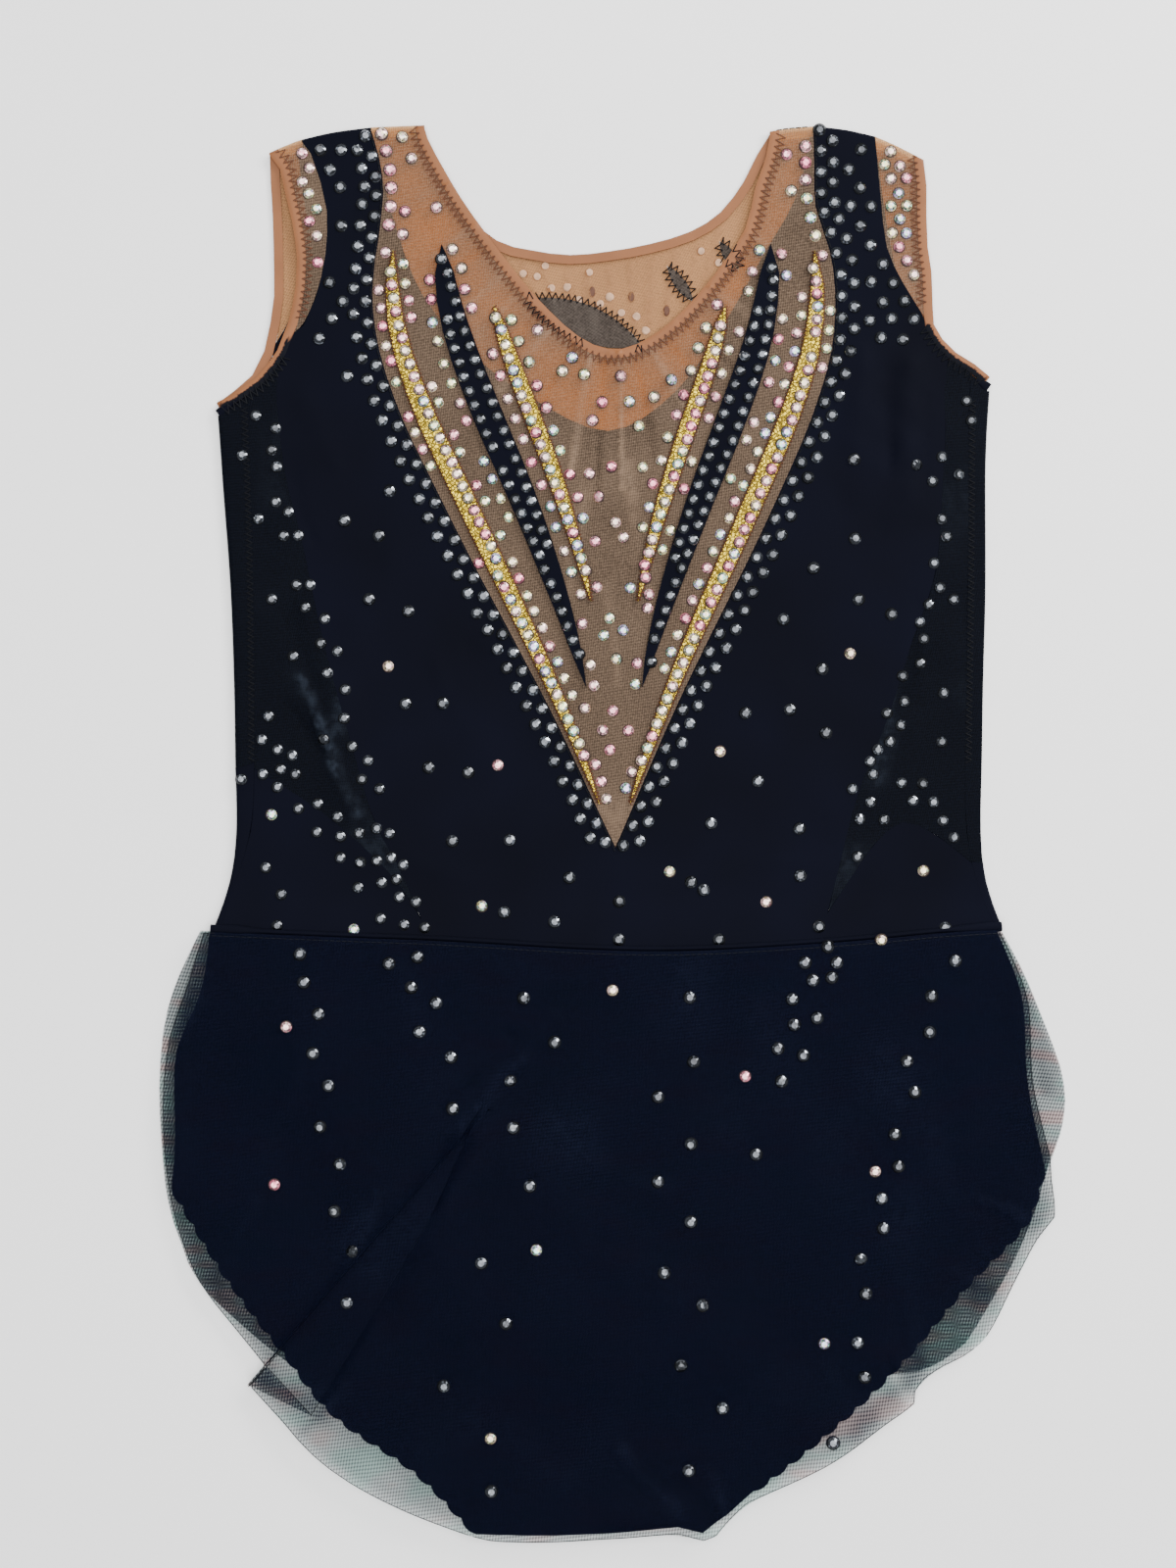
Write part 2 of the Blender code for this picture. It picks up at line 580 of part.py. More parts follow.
def make_front_body():
    """Front of opaque navy, with two straps, a V cut out and the briefs below the hip."""
    left, right = straps_and_sides("front", "left"), straps_and_sides("front", "right")
    leg_left, leg_right = smooth(LEG_LEFT), smooth(LEG_RIGHT)
    v_left = crossing(CUT.yoke["left"], CUT.shoulder["left"])
    v_right = crossing(CUT.yoke["right"], CUT.shoulder["right"])
    tip = CUT.yoke["left"][-1]
    outline, edges = cut_out(
        (left["strap"], True), (left["arm"], True), (left["mesh"], True), (left["low"], True),
        (stretch(CUT.seam["left"], left["at_seam"], CUT.seam["left"][-1]), True),
        (leg_left, False), ([leg_left[-1], leg_right[0]], False), (leg_right, False),
        (stretch(CUT.seam["right"], CUT.seam["right"][-1], right["at_seam"]), True),
        (right["low"][::-1], True), (right["mesh"][::-1], True), (right["arm"][::-1], True),
        (right["strap"][::-1], True),
        (stretch(CUT.shoulder["right"], right["strap"][0], v_right), False),
        (stretch(CUT.yoke["right"], v_right, tip), True),
        (stretch(CUT.yoke["left"], tip, v_left), True),
        (stretch(CUT.shoulder["left"], v_left, left["strap"][0]), False))
    mesh = bmesh.new()
    fill(mesh, [outline], front_height)
    shoulder_roll(mesh, edges[13])
    shoulder_roll(mesh, edges[16])
    make_cloth("front_body", "navy", mesh)


def make_front_yoke():
    """Nude mesh of the V, from the neck binding to the navy front."""
    v_left = crossing(CUT.yoke["left"], CUT.shoulder["left"])
    v_right = crossing(CUT.yoke["right"], CUT.shoulder["right"])
    neck_left = crossing(CUT.neck_in["front"], CUT.shoulder["left"])
    neck_right = crossing(CUT.neck_in["front"], CUT.shoulder["right"])
    tip = CUT.yoke["left"][-1]
    outline, edges = cut_out(
        (stretch(CUT.yoke["left"], v_left, tip), True),
        (stretch(CUT.yoke["right"], tip, v_right), True),
        (stretch(CUT.shoulder["right"], v_right, neck_right), False),
        (stretch(CUT.neck_in["front"], neck_right, neck_left), True),
        (stretch(CUT.shoulder["left"], neck_left, v_left), False))
    mesh = bmesh.new()
    fill(mesh, [outline], front_height)
    shoulder_roll(mesh, edges[2])
    shoulder_roll(mesh, edges[4])
    make_cloth("front_yoke", "nude_mesh", mesh)


def make_arm_mesh(face, side):
    """Nude strip between an armhole binding and the navy strap."""
    strap, arm, line = CUT.strap[face, side], CUT.armhole_in[face, side], CUT.top(face, side)
    foot = crossing(strap, arm)
    strap_top, arm_top = crossing(strap, line), crossing(arm, line)
    inner = stretch(strap, foot, strap_top)
    outer = stretch(arm, arm_top, foot)
    if side == "left":
        sides = ((outer, True), (inner, True), (stretch(line, strap_top, arm_top), False))
    else:
        sides = ((inner[::-1], True), (outer[::-1], True), (stretch(line, arm_top, strap_top), False))
    outline, edges = cut_out(*sides)
    mesh = bmesh.new()
    if face == "front":
        fill(mesh, [outline], front_height)
        shoulder_roll(mesh, edges[2])
    else:
        fill(mesh, [outline], back_height)
    make_cloth(f"{face}_arm_mesh_{side}", "nude_mesh", mesh, face == "front")


def make_front_side_mesh(side):
    """Black mesh inset between the side seam and the navy front."""
    corners = straps_and_sides("front", side)
    arm, seam = CUT.armhole_in["front", side], CUT.seam[side]
    seam_top = crossing(seam, arm)
    down = stretch(seam, seam_top, corners["at_seam"])
    across = stretch(arm, corners["mesh"][0], seam_top)
    loop = [(across, True), (down, True), (corners["low"][::-1], True), (corners["mesh"][::-1], True)]
    if side == "right":
        loop = [(curve[::-1], seam_edge) for curve, seam_edge in reversed(loop)]
    outline, _ = cut_out(*loop)
    mesh = bmesh.new()
    fill(mesh, [outline], front_height)
    make_cloth(f"front_side_mesh_{side}", "black_mesh", mesh)


def side_wrap(mesh, side, edge):
    """Wrap a back piece round the side fold to the front seam."""
    seam = CUT.seam[side]
    seam_top = crossing(seam, CUT.armhole_in["front", side]) - Vector((0.0, 2 * GAP))
    short = OUTWARDS[side] * (GAP / 2)
    ends = []
    for point in edge:
        share = (point.y - CUT.fold[side][-1].y) / (CUT.fold[side][0].y - CUT.fold[side][-1].y)
        height = CUT.seam[side][-1].y + share * (seam_top.y - CUT.seam[side][-1].y)
        at_top = share > 1 - LEAST_TURN
        ends.append((seam_top if at_top else crossing(seam, level_line(height))) + short)
    rolled(mesh, edge, OUTWARDS[side], back_height, True, ends)


def fold_point(side, height):
    """Where the side fold passes a height along the garment."""
    return crossing(CUT.fold[side], level_line(height))


def make_back_side_mesh(side):
    """Black mesh of the back, wrapped round the side to the front seam."""
    corners = straps_and_sides("back", side)
    arm, fold = CUT.armhole_in["back", side], CUT.fold[side]
    low_corner = fold_point(side, corners["at_seam"].y)
    near_fold = stretch(arm, corners["mesh"][0], arm[-2])
    loop = [(near_fold, True), ([arm[-2], fold[0]], True), (stretch(fold, fold[0], low_corner), False),
            ([low_corner, corners["at_seam"]], True), (corners["low"][::-1], True),
            (corners["mesh"][::-1], True)]
    at_fold = 2
    if side == "right":
        loop = [(curve[::-1], seam_edge) for curve, seam_edge in reversed(loop)]
        at_fold = 3
    outline, edges = cut_out(*loop)
    mesh = bmesh.new()
    fill(mesh, [outline], back_height)
    side_wrap(mesh, side, edges[at_fold])
    make_cloth(f"back_side_mesh_{side}", "black_mesh", mesh, False)


def make_back_body():
    """Back of opaque navy, wrapped round the hips to the front seams, with the briefs below."""
    left, right = straps_and_sides("back", "left"), straps_and_sides("back", "right")
    leg_left, leg_right = smooth(LEG_LEFT), smooth(LEG_RIGHT)
    fold_left, fold_right = CUT.fold["left"], CUT.fold["right"]
    side_left = fold_point("left", left["at_seam"].y)
    side_right = fold_point("right", right["at_seam"].y)
    scoop_left = crossing(CUT.scoop, CUT.back_seam["left"])
    scoop_right = crossing(CUT.scoop[::-1], CUT.back_seam["right"])
    outline, edges = cut_out(
        (left["strap"], True), (left["arm"], True), (left["mesh"], True), (left["low"], True),
        ([left["at_seam"], side_left], True),
        (stretch(fold_left, side_left, fold_left[-1]), False),
        ([fold_left[-1], *leg_left[1:]], False), ([leg_left[-1], leg_right[0]], False),
        ([*leg_right[:-1], fold_right[-1]], False),
        (stretch(fold_right, fold_right[-1], side_right), False),
        ([side_right, right["at_seam"]], True),
        (right["low"][::-1], True), (right["mesh"][::-1], True), (right["arm"][::-1], True),
        (right["strap"][::-1], True),
        (stretch(CUT.back_seam["right"], right["strap"][0], scoop_right), False),
        (stretch(CUT.scoop, scoop_right, scoop_left), True),
        (stretch(CUT.back_seam["left"], scoop_left, left["strap"][0]), False))
    mesh = bmesh.new()
    fill(mesh, [outline], back_height)
    side_wrap(mesh, "left", edges[5])
    side_wrap(mesh, "right", edges[9])
    make_cloth("back_body", "navy", mesh, False)


def leaf_outline(across, along, half_length, half_width, tilt):
    """A pointed leaf."""
    turn = math.radians(tilt)
    lengthways = Vector((math.cos(turn), math.sin(turn)))
    sideways = Vector((-lengthways.y, lengthways.x))
    outline = []
    for edge, order in ((-1, range(LEAF_STEPS)), (1, range(LEAF_STEPS, 0, -1))):
        for k in order:
            t = 2 * k / LEAF_STEPS - 1
            bulge = edge * half_width * (1 - t * t)
            outline.append(Vector((across, along)) + lengthways * t * half_length + sideways * bulge)
    return outline


def make_back_yoke():
    """Nude mesh of the back below the neck, with three leaf shapes set into it."""
    scoop_left = crossing(CUT.scoop, CUT.back_seam["left"])
    scoop_right = crossing(CUT.scoop[::-1], CUT.back_seam["right"])
    neck_left = crossing(CUT.neck_in["back"], CUT.back_seam["left"])
    neck_right = crossing(CUT.neck_in["back"][::-1], CUT.back_seam["right"])
    outline, _ = cut_out(
        (stretch(CUT.scoop, scoop_left, scoop_right), True),
        (stretch(CUT.back_seam["right"], scoop_right, neck_right), False),
        (stretch(CUT.neck_in["back"], neck_right, neck_left), True),
        (stretch(CUT.back_seam["left"], neck_left, scoop_left), False))
    holes = []
    for name, *leaf in BACK_LEAVES:
        hole = leaf_outline(*leaf)
        holes.append(inset(hole, [-GAP / 2] * len(hole)))
        mesh = bmesh.new()
        fill(mesh, [inset(hole, [GAP / 2] * len(hole))], back_height)
        make_cloth(name, "navy", mesh, False)
    mesh = bmesh.new()
    fill(mesh, [outline, *holes], back_height)
    make_cloth("back_yoke", "nude_mesh", mesh, False)


def band(outer, inner, start, end):
    """Outline of a binding between its two edges, with given corners at each end."""
    return [start[0], *outer[1:-1], end[0], end[1], *inner[-2:0:-1], start[1]]


def trimmed(curve, start, end):
    """A curve between two places near it, with its own ends dropped."""
    first, last = place_on(curve, start), place_on(curve, end)
    between = [curve[i] for i in range(len(curve)) if first + SPARE < i < last - SPARE]
    return [start, *between, end]


def make_ring(name, rims, corners, outwards):
    """A binding round an opening: its front and back bands joined by a roll at each end."""
    mesh = bmesh.new()
    for face, (outer, width) in rims.items():
        inner = offset(outer, width)
        height = front_height if face == "front" else back_height
        (start_out, start_in), (end_out, end_in) = corners
        outline = trimmed(outer, start_out, end_out) + trimmed(inner, start_in, end_in)[::-1]
        if sum(a.cross(b) for a, b in zip(outline, outline[1:] + outline[:1])) < 0:
            outline.reverse()
        fill(mesh, [outline], height)
    for corner, direction in zip(corners, outwards):
        rolled(mesh, list(corner), direction, front_height, False)
    make_cloth(name, "satin", mesh)


def make_neck_binding():
    """Satin binding round the whole neck, over both shoulders."""
    width = -(BINDING - GAP / 2)
    corners = []
    for side, end in (("left", 0), ("right", -1)):
        outer = crossing(CUT.neck["front"][::(1 if end == 0 else -1)], CUT.shoulder[side])
        inner_curve = offset(CUT.neck["front"], width)[::(1 if end == 0 else -1)]
        corners.append((outer, crossing(inner_curve, CUT.shoulder[side])))
    rims = {face: (CUT.neck[face], width) for face in ("front", "back")}
    make_ring("neck_binding", rims, corners, (OUTWARDS["up"], OUTWARDS["up"]))


def make_armhole_binding(side):
    """Satin binding round an armhole, over the shoulder and under the arm."""
    width = (BINDING - GAP / 2) * (1 if side == "left" else -1)
    outer = CUT.armhole["front", side]
    inner = offset(outer, width)
    run = (outer[-1] - outer[-2]).normalized()
    shoulder = (crossing(outer, CUT.shoulder[side]), crossing(inner, CUT.shoulder[side]))
    foot = outer[-1] - run * ROLL
    underarm = (foot, foot + Vector((-run.y, run.x)) * width)
    rims = {face: (CUT.armhole[face, side], width) for face in ("front", "back")}
    make_ring(f"armhole_binding_{side}", rims, (shoulder, underarm), (OUTWARDS["up"], run))


def stripe_outline(edge, top, foot, place_top, place_foot, width):
    """A long leaf that runs down beside the edge of the V towards its point."""
    tip = edge[-1]
    centre = []
    for k in range(STRIPE_STEPS + 1):
        t = k / STRIPE_STEPS
        height = STRIPE_TOP + (tip.y - STRIPE_TOP) * (top + (foot - top) * t)
        place = place_top + (place_foot - place_top) * t
        centre.append(crossing(edge, level_line(height)).lerp(Vector((tip.x, height)), place))
    widths = [width / 2 * (t ** 0.45) * ((1 - t) ** 0.75) * 1.75
              for t in (k / STRIPE_STEPS for k in range(STRIPE_STEPS + 1))]
    sides = []
    for sign in (1, -1):
        side = []
        for k, point in enumerate(centre):
            ahead, behind = centre[min(k + 1, STRIPE_STEPS)], centre[max(k - 1, 0)]
            run = (ahead - behind).normalized()
            side.append(point + Vector((-run.y, run.x)) * widths[k] * sign)
        sides.append(side)
    return sides[1][:-1][::-1] + sides[0][1:]


def make_stripes():
    """Gold and navy stripes that lie on the front yoke."""
    for side, rows in STRIPE_SIDES:
        edge = smooth(rows)
        for name, *sizes in STRIPES:
            outline = stripe_outline(edge, *sizes)
            if sum(a.cross(b) for a, b in zip(outline, outline[1:] + outline[:1])) < 0:
                outline.reverse()
            mesh = bmesh.new()
            fill(mesh, [outline], lambda point: STRIPE_FACE)
            make_cloth(f"{name}_{side}", name.split("_")[0], mesh)


def scalloped(rows):
    """A hem of small rounded scallops along a curve."""
    curve = smooth(rows, SCALLOP_STEP)
    length = sum((b - a).length for a, b in zip(curve, curve[1:]))
    count = round(length / SCALLOP)
    spaced = evenly(curve, count * SCALLOP_CORNERS + 1)
    hem = [spaced[0]]
    for k in range(1, len(spaced) - 1):
        run = (spaced[k + 1] - spaced[k - 1]).normalized()
        drop = SCALLOP_DEPTH * math.sin(math.pi * (k % SCALLOP_CORNERS) / SCALLOP_CORNERS)
        hem.append(spaced[k] + Vector((run.y, -run.x)) * drop)
    return hem + [spaced[-1]]


def skirt_edges(left, *rest):
    """An outline that runs down the left, round the hem, up the right and back along the hip."""
    hip = smooth(HIP)
    start, end = crossing(left, hip), crossing(rest[-1][::-1], hip)
    first, last = place_on(left, start) + SPARE, place_on(rest[-1], end) - SPARE
    down = [start, *(left[i] for i in range(len(left)) if i > first)]
    up = [*(rest[-1][i] for i in range(len(rest[-1])) if i < last), end]
    return [down, *rest[:-1], up, stretch(hip, end, start)]


def make_skirt_back():
    """Sheer back layer of the skirt, which lies on the floor."""
    left, right = smooth(SKIRT_BACK[:17]), smooth(SKIRT_BACK[16:])
    outline, _ = cut_out(*((edge, False) for edge in skirt_edges(left, right)))
    mesh = bmesh.new()
    fill(mesh, [outline], lambda point: 0.0)
    make_cloth("skirt_back", "skirt_sheer", mesh, False)


def make_skirt_under():
    """Opaque layer of the skirt's front, with a scalloped hem."""
    edges = skirt_edges(smooth(UNDER_LEFT), scalloped(UNDER_HEM_LEFT), smooth(UNDER_BOTTOM),
                        scalloped(UNDER_HEM_RIGHT), smooth(UNDER_RIGHT))
    outline, _ = cut_out(*((edge, False) for edge in edges))
    mesh = bmesh.new()
    fill(mesh, [outline], under_height)
    make_cloth("skirt_under", "skirt_opaque", mesh)


def pleat_rows():
    """Rows of points across the pleat, from the upper side through both folds to the lower one."""
    along = (PLEAT_TIP - PLEAT_APEX).normalized()
    across = Vector((along.y, -along.x))
    if across.x > 0:
        across.negate()
    reach = (PLEAT_TIP - PLEAT_APEX).length
    heel_reach = (PLEAT_HEEL - PLEAT_APEX).length
    rows = []
    for i in range(PLEAT_ROWS):
        distance = PLEAT_START + (reach - PLEAT_START) * i / (PLEAT_ROWS - 1)
        turn, depth = pleat_turn(distance), pleat_depth(distance)
        full = max(turn, LEAST_TURN)
        curl = full / PLEAT_BEND
        profile = [(0.0, 0.0)]
        for k in range(1, PLEAT_ARC + 1):
            angle = full * k / PLEAT_ARC
            profile.append((math.sin(angle) / curl, -(1 - math.cos(angle)) / curl))
        middle = profile[-1]
        bend = (middle[0] + depth * math.cos(turn), middle[1] - depth * math.sin(turn))
        for k in range(PLEAT_ARC + 1):
            angle = full * (1 - k / PLEAT_ARC)
            profile.append((bend[0] + (math.sin(full) - math.sin(angle)) / curl,
                            bend[1] - (math.cos(angle) - math.cos(full)) / curl))
        row = []
        rise = pleat_rise(distance)
        for sideways, drop in profile:
            swing = -sideways / distance if turn > math.pi / 2 else 0.0
            share = min(1.0, max(0.0, -sideways / depth)) if turn > math.pi / 2 else 0.0
            shorter = 1 + (heel_reach / reach - 1) * share * i / (PLEAT_ROWS - 1)
            if swing:
                point = PLEAT_APEX + Vector((along.x * math.cos(swing) - along.y * math.sin(swing),
                                             along.x * math.sin(swing) + along.y * math.cos(swing))
                                            ) * distance * shorter
            else:
                point = PLEAT_APEX + along * distance + across * sideways
            row.append((point, rise + drop))
        rows.append(row)
    return rows


def make_skirt_front():
    """Sheer front layer of the skirt, folded over itself in one diagonal pleat."""
    rows = pleat_rows()
    upper_rail = [row[0][0] for row in rows]
    lower_rail = [row[-1][0] for row in rows]
    hip = smooth(HIP)
    seam = [CUT_TOP, lower_rail[0]]
    cut_top = crossing(seam, hip)
    left = smooth(FRONT_LEFT)
    start = crossing(left, hip)
    down = [start] + [p for p in left[1:] if p.y < start.y - HIP_STEP]
    right = smooth(FRONT_RIGHT)
    end = crossing(right[::-1], hip)
    up = [p for p in right[:-1] if p.y < end.y - HIP_STEP] + [end]
    lower, _ = cut_out(
        (down, False), ([down[-1], lower_rail[-1]], False), (lower_rail[::-1], False),
        ([lower_rail[0], cut_top], False), (stretch(hip, cut_top, start), False))
    hem = [upper_rail[-1], *smooth(FRONT_HEM)]
    upper, _ = cut_out(
        ([cut_top, lower_rail[0]], False), ([point for point, _ in rows[0]][::-1], False),
        (upper_rail, False), (hem, False), (up, False), (stretch(hip, end, cut_top), False))
    mesh = bmesh.new()
    fill(mesh, [upper], upper_height)
    fill(mesh, [lower], skirt_height)
    bridge(mesh, [[(*point, skirt_height(point) + rise) for point, rise in row] for row in rows])
    make_cloth("skirt_front", "skirt_sheer", mesh, True, 0.0)


def remove_everything():
    """Start from an empty scene."""
    for item in list(bpy.data.objects):
        bpy.data.objects.remove(item, do_unlink=True)


remove_everything()
LEOTARD = bpy.data.collections.new("gymnastics_leotard")
bpy.context.scene.collection.children.link(LEOTARD)

make_skirt_back()
make_back_body()
make_back_yoke()
make_front_body()
make_front_yoke()
make_neck_binding()
for side_name in ("left", "right"):
    make_back_side_mesh(side_name)
    make_front_side_mesh(side_name)
    make_arm_mesh("back", side_name)
    make_arm_mesh("front", side_name)
    make_armhole_binding(side_name)
make_stripes()
make_skirt_under()
make_skirt_front()
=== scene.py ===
"""Looks of a rhythmic gymnastics leotard with a skirt, laid flat.

The cloth pieces are thin shells on the form of the frame's solids. Tables are in millimetres, across
(X) and along (Y) the garment, from the middle of the frame's box. Meshes are in metres.
"""

import math
import random

import bmesh
import bpy
import numpy as np
from mathutils import Matrix, Vector
from mathutils.bvhtree import BVHTree
from mathutils.geometry import delaunay_2d_cdt


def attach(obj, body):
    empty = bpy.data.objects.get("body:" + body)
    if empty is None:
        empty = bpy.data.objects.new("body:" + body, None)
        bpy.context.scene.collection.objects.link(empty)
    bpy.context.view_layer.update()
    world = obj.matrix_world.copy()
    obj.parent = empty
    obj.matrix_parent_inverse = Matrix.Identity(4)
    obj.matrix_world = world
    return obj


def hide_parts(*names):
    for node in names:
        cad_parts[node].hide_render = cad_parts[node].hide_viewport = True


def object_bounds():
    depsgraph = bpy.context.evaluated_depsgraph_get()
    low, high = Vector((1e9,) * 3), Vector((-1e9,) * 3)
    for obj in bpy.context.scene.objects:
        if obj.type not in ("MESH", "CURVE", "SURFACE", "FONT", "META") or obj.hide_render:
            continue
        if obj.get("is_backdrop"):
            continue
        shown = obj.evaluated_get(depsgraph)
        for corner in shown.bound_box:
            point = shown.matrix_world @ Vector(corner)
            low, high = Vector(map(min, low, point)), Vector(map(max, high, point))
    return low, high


MM = 0.001

# The view: straight down on the laid garment
VIEW_CENTRE = Vector((-9.9, 19.5))        # middle of the picture
VIEW_LENGTH = 640.0                       # length of the picture's long side on the floor
LENS, SENSOR = 50.0, 36.0

# Shells
FRONT_LEVEL = 2.3                 # outer face of the front pieces in the frame
SHELL = 0.35                      # thickness of the jersey and foil
SHEER_SHELL = 0.16                # thickness of the mesh
CELL = 4.6                        # spacing of points in a panel before it is subdivided
FINE = CELL * 0.8                 # the same in gathered mesh,
STRIPE = 2.5                      # in a narrow stripe
COARSE = 7.0                      # and in a panel that nobody sees
STRIPE_SHELL = 0.95               # thickness of the stripes, down to the mesh that they lie on
GAP = 0.3                         # clearance between the frame's solids
SMALL_PANEL = 60.0                # area in square millimetres from which a panel is meshed evenly
SEAM = 0.14                       # how far a panel reaches into the gap at its seams
WELD = 0.01
ROLLED = 0.8                      # the side of a wall that spans this much more rolls over an edge
LEVEL_UP, LEVEL_DOWN = 0.85, -0.97        # normals of a panel's faces
CORNER = math.radians(32)         # an outline's corner stays sharp from here
SHARP = math.radians(50)          # edges that meet at more are shaded sharp
FOLD = math.radians(60)           # faces that meet at more are the two sides of a wall's edge
SIDES = ("left", "right")

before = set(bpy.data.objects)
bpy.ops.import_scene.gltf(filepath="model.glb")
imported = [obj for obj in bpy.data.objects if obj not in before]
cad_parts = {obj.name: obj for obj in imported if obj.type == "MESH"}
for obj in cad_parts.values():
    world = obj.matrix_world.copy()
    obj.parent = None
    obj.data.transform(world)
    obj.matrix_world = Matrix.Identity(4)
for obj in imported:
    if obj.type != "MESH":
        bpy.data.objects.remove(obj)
cad_low, cad_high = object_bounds()


class Nodes:
    """A material and its nodes."""

    def __init__(self, name):
        self.material = bpy.data.materials.new(name)
        self.material.use_nodes = True
        self.tree = self.material.node_tree
        self.tree.nodes.clear()

    def add(self, kind, out=0, settings=None, **inputs):
        """Add a node, link or set its inputs by name or as i0, i1 and on, and give an output."""
        node = self.tree.nodes.new("ShaderNode" + kind)
        for key, value in (settings or {}).items():
            setattr(node, key, value)
        for key, value in inputs.items():
            socket = node.inputs[int(key[1:])] if key[0] == "i" and key[1:].isdigit() \
                else node.inputs[key.replace("_", " ")]
            if isinstance(value, bpy.types.NodeSocket):
                self.tree.links.new(value, socket)
            else:
                socket.default_value = value
        return node.outputs[out]

    def math(self, operation, a, b, c=0.0):
        return self.add("Math", settings={"operation": operation}, i0=a, i1=b, i2=c)

    def ramp(self, value, *stops):
        """Colours or greys between places from 0 to 1."""
        node = self.tree.nodes.new("ShaderNodeValToRGB")
        self.tree.links.new(value, node.inputs[0])
        while len(node.color_ramp.elements) < len(stops):
            node.color_ramp.elements.new(0.5)
        for element, (place, colour) in zip(node.color_ramp.elements, stops):
            element.position = place
            element.color = (*colour, 1.0) if isinstance(colour, tuple) else (colour,) * 3 + (1.0,)
        return node.outputs[0]

    def place(self, turn=0.0, stretch=(1.0, 1.0, 1.0)):
        """Where a point is on the piece, in metres, turned and stretched."""
        coords = self.add("TexCoord", out="Object")
        return self.add("Mapping", Vector=coords, Rotation=(0, 0, turn), Scale=stretch)

    def attribute(self, name):
        """A number that the mesh carries."""
        return self.add("Attribute", out="Fac", settings={"attribute_name": name})

    def noise(self, size, detail=3.0, place=None):
        """Noise whose blotches are about size millimetres across."""
        return self.add("TexNoise", Vector=place or self.place(), Scale=1 / (size * MM), Detail=detail)

    def bands(self, pitch, turn, wobble):
        """Soft bands, pitch millimetres apart."""
        return self.add("TexWave", out="Fac", Vector=self.place(turn),
                        Scale=math.pi / (10 * pitch * MM), Distortion=wobble)

    def bump(self, height, strength, depth, normal=None):
        extra = {"Normal": normal} if normal else {}
        return self.add("Bump", Height=height, Strength=strength, Distance=depth * MM, **extra)

    def finish(self, shader):
        end = self.tree.nodes.new("ShaderNodeOutputMaterial")
        self.tree.links.new(shader, end.inputs["Surface"])
        return self.material

    def principled(self, colour, **inputs):
        """Finish the material with one shader."""
        return self.finish(self.add("BsdfPrincipled", Base_Color=colour, **inputs))


def scaled(colour, share):
    return tuple(channel * share for channel in colour)


def jersey(name, colour):
    """Matt stretch jersey: a dark body colour, a fine uneven knit and a faint nap."""
    nodes = Nodes(name)
    patches = nodes.noise(55.0, 2.0)
    shade = nodes.ramp(patches, (0.3, colour), (0.7, scaled(colour, 1.6)))
    wales = nodes.bands(0.55, 0.0, 0.6)
    courses = nodes.bands(0.44, math.pi / 2, 0.6)
    knit = nodes.math("MULTIPLY_ADD", nodes.math("MULTIPLY", wales, courses), 0.7, nodes.noise(0.9, 2.0))
    relief = nodes.bump(knit, 0.35, 0.06, nodes.bump(nodes.noise(6.0, 4.0), 0.10, 0.3))
    return nodes.principled(shade, Roughness=0.8, Specular_IOR_Level=0.06, Sheen_Weight=0.02,
                            Sheen_Roughness=0.45, Sheen_Tint=(0.35, 0.42, 0.65, 1.0), Normal=relief)


def mesh_cloth(name, colour, ridge_highlight, seen, cover, turn, shine, pitch=0.9, weave=0.34, drift=None):
    """Sheer stretch mesh: threads that cover part of what lies below, which is seen tinted.

    The second colour is a painted highlight that the ridges of its folds are painted towards, cover the
    share that the threads cover, and weave how much that share varies from thread to gap. drift gives two
    tints that the mesh shimmers in.
    """
    nodes = Nodes(name)
    rows = nodes.bands(pitch, turn, 0.4)
    threads = nodes.math("MULTIPLY_ADD", nodes.bands(pitch * 1.3, turn + 1.3, 0.8), 0.45,
                         nodes.math("MULTIPLY", rows, 0.55))
    patches = nodes.noise(30.0, 3.0)
    amount = nodes.math("MULTIPLY_ADD", threads, weave, cover - weave / 2)
    amount = nodes.math("MULTIPLY_ADD", nodes.math("SUBTRACT", patches, 0.5), 0.25, amount)
    fold = nodes.attribute("fold")
    amount = nodes.math("MULTIPLY_ADD", fold, 0.20, amount)
    grain = nodes.noise(0.8, 2.0)
    shade = nodes.ramp(grain, (0.35, scaled(colour, 0.7)), (0.65, scaled(colour, 1.25)))
    # Painted highlight: the ridges of the creases are painted lighter, towards the second colour, in
    # ragged patches.
    ragged = nodes.ramp(nodes.noise(4.0, 3.0), (0.38, 0.15), (0.62, 1.0))
    lit_ridges = nodes.math("MULTIPLY", nodes.ramp(fold, (0.05, 0.0), (0.8, 1.0)), ragged)
    shade = nodes.add("MixRGB", Fac=lit_ridges, Color1=shade, Color2=(*ridge_highlight, 1.0))
    thread = nodes.add(
        "BsdfPrincipled", Base_Color=shade, Roughness=0.7, Specular_IOR_Level=shine,
        Normal=nodes.bump(threads, 0.4, 0.08))
    tint = (*seen, 1.0)
    if drift:
        bands = nodes.noise(9.0, 1.0, nodes.place(0.4, (0.35, 1.0, 1.0)))
        tint = nodes.ramp(bands, (0.36, drift[0]), (0.46, seen), (0.56, seen), (0.66, drift[1]))
    clear = nodes.add("BsdfTransparent", Color=tint)
    return nodes.finish(nodes.add("MixShader", i0=amount, i1=clear, i2=thread))


def satin(name, colour, jersey_colour):
    """Folded satin elastic, which the jersey covers where it is turned over it."""
    nodes = Nodes(name)
    patches = nodes.noise(14.0, 3.0)
    shade = nodes.ramp(patches, (0.3, scaled(colour, 0.86)), (0.7, colour))
    turned = nodes.attribute("turned")
    shade = nodes.add("MixRGB", Fac=turned, Color1=shade, Color2=(*jersey_colour, 1.0))
    return nodes.principled(shade, Roughness=nodes.math("MULTIPLY_ADD", turned, 0.4, 0.45),
                            Specular_IOR_Level=0.15, Normal=nodes.bump(nodes.noise(1.2, 3.0), 0.3, 0.15))


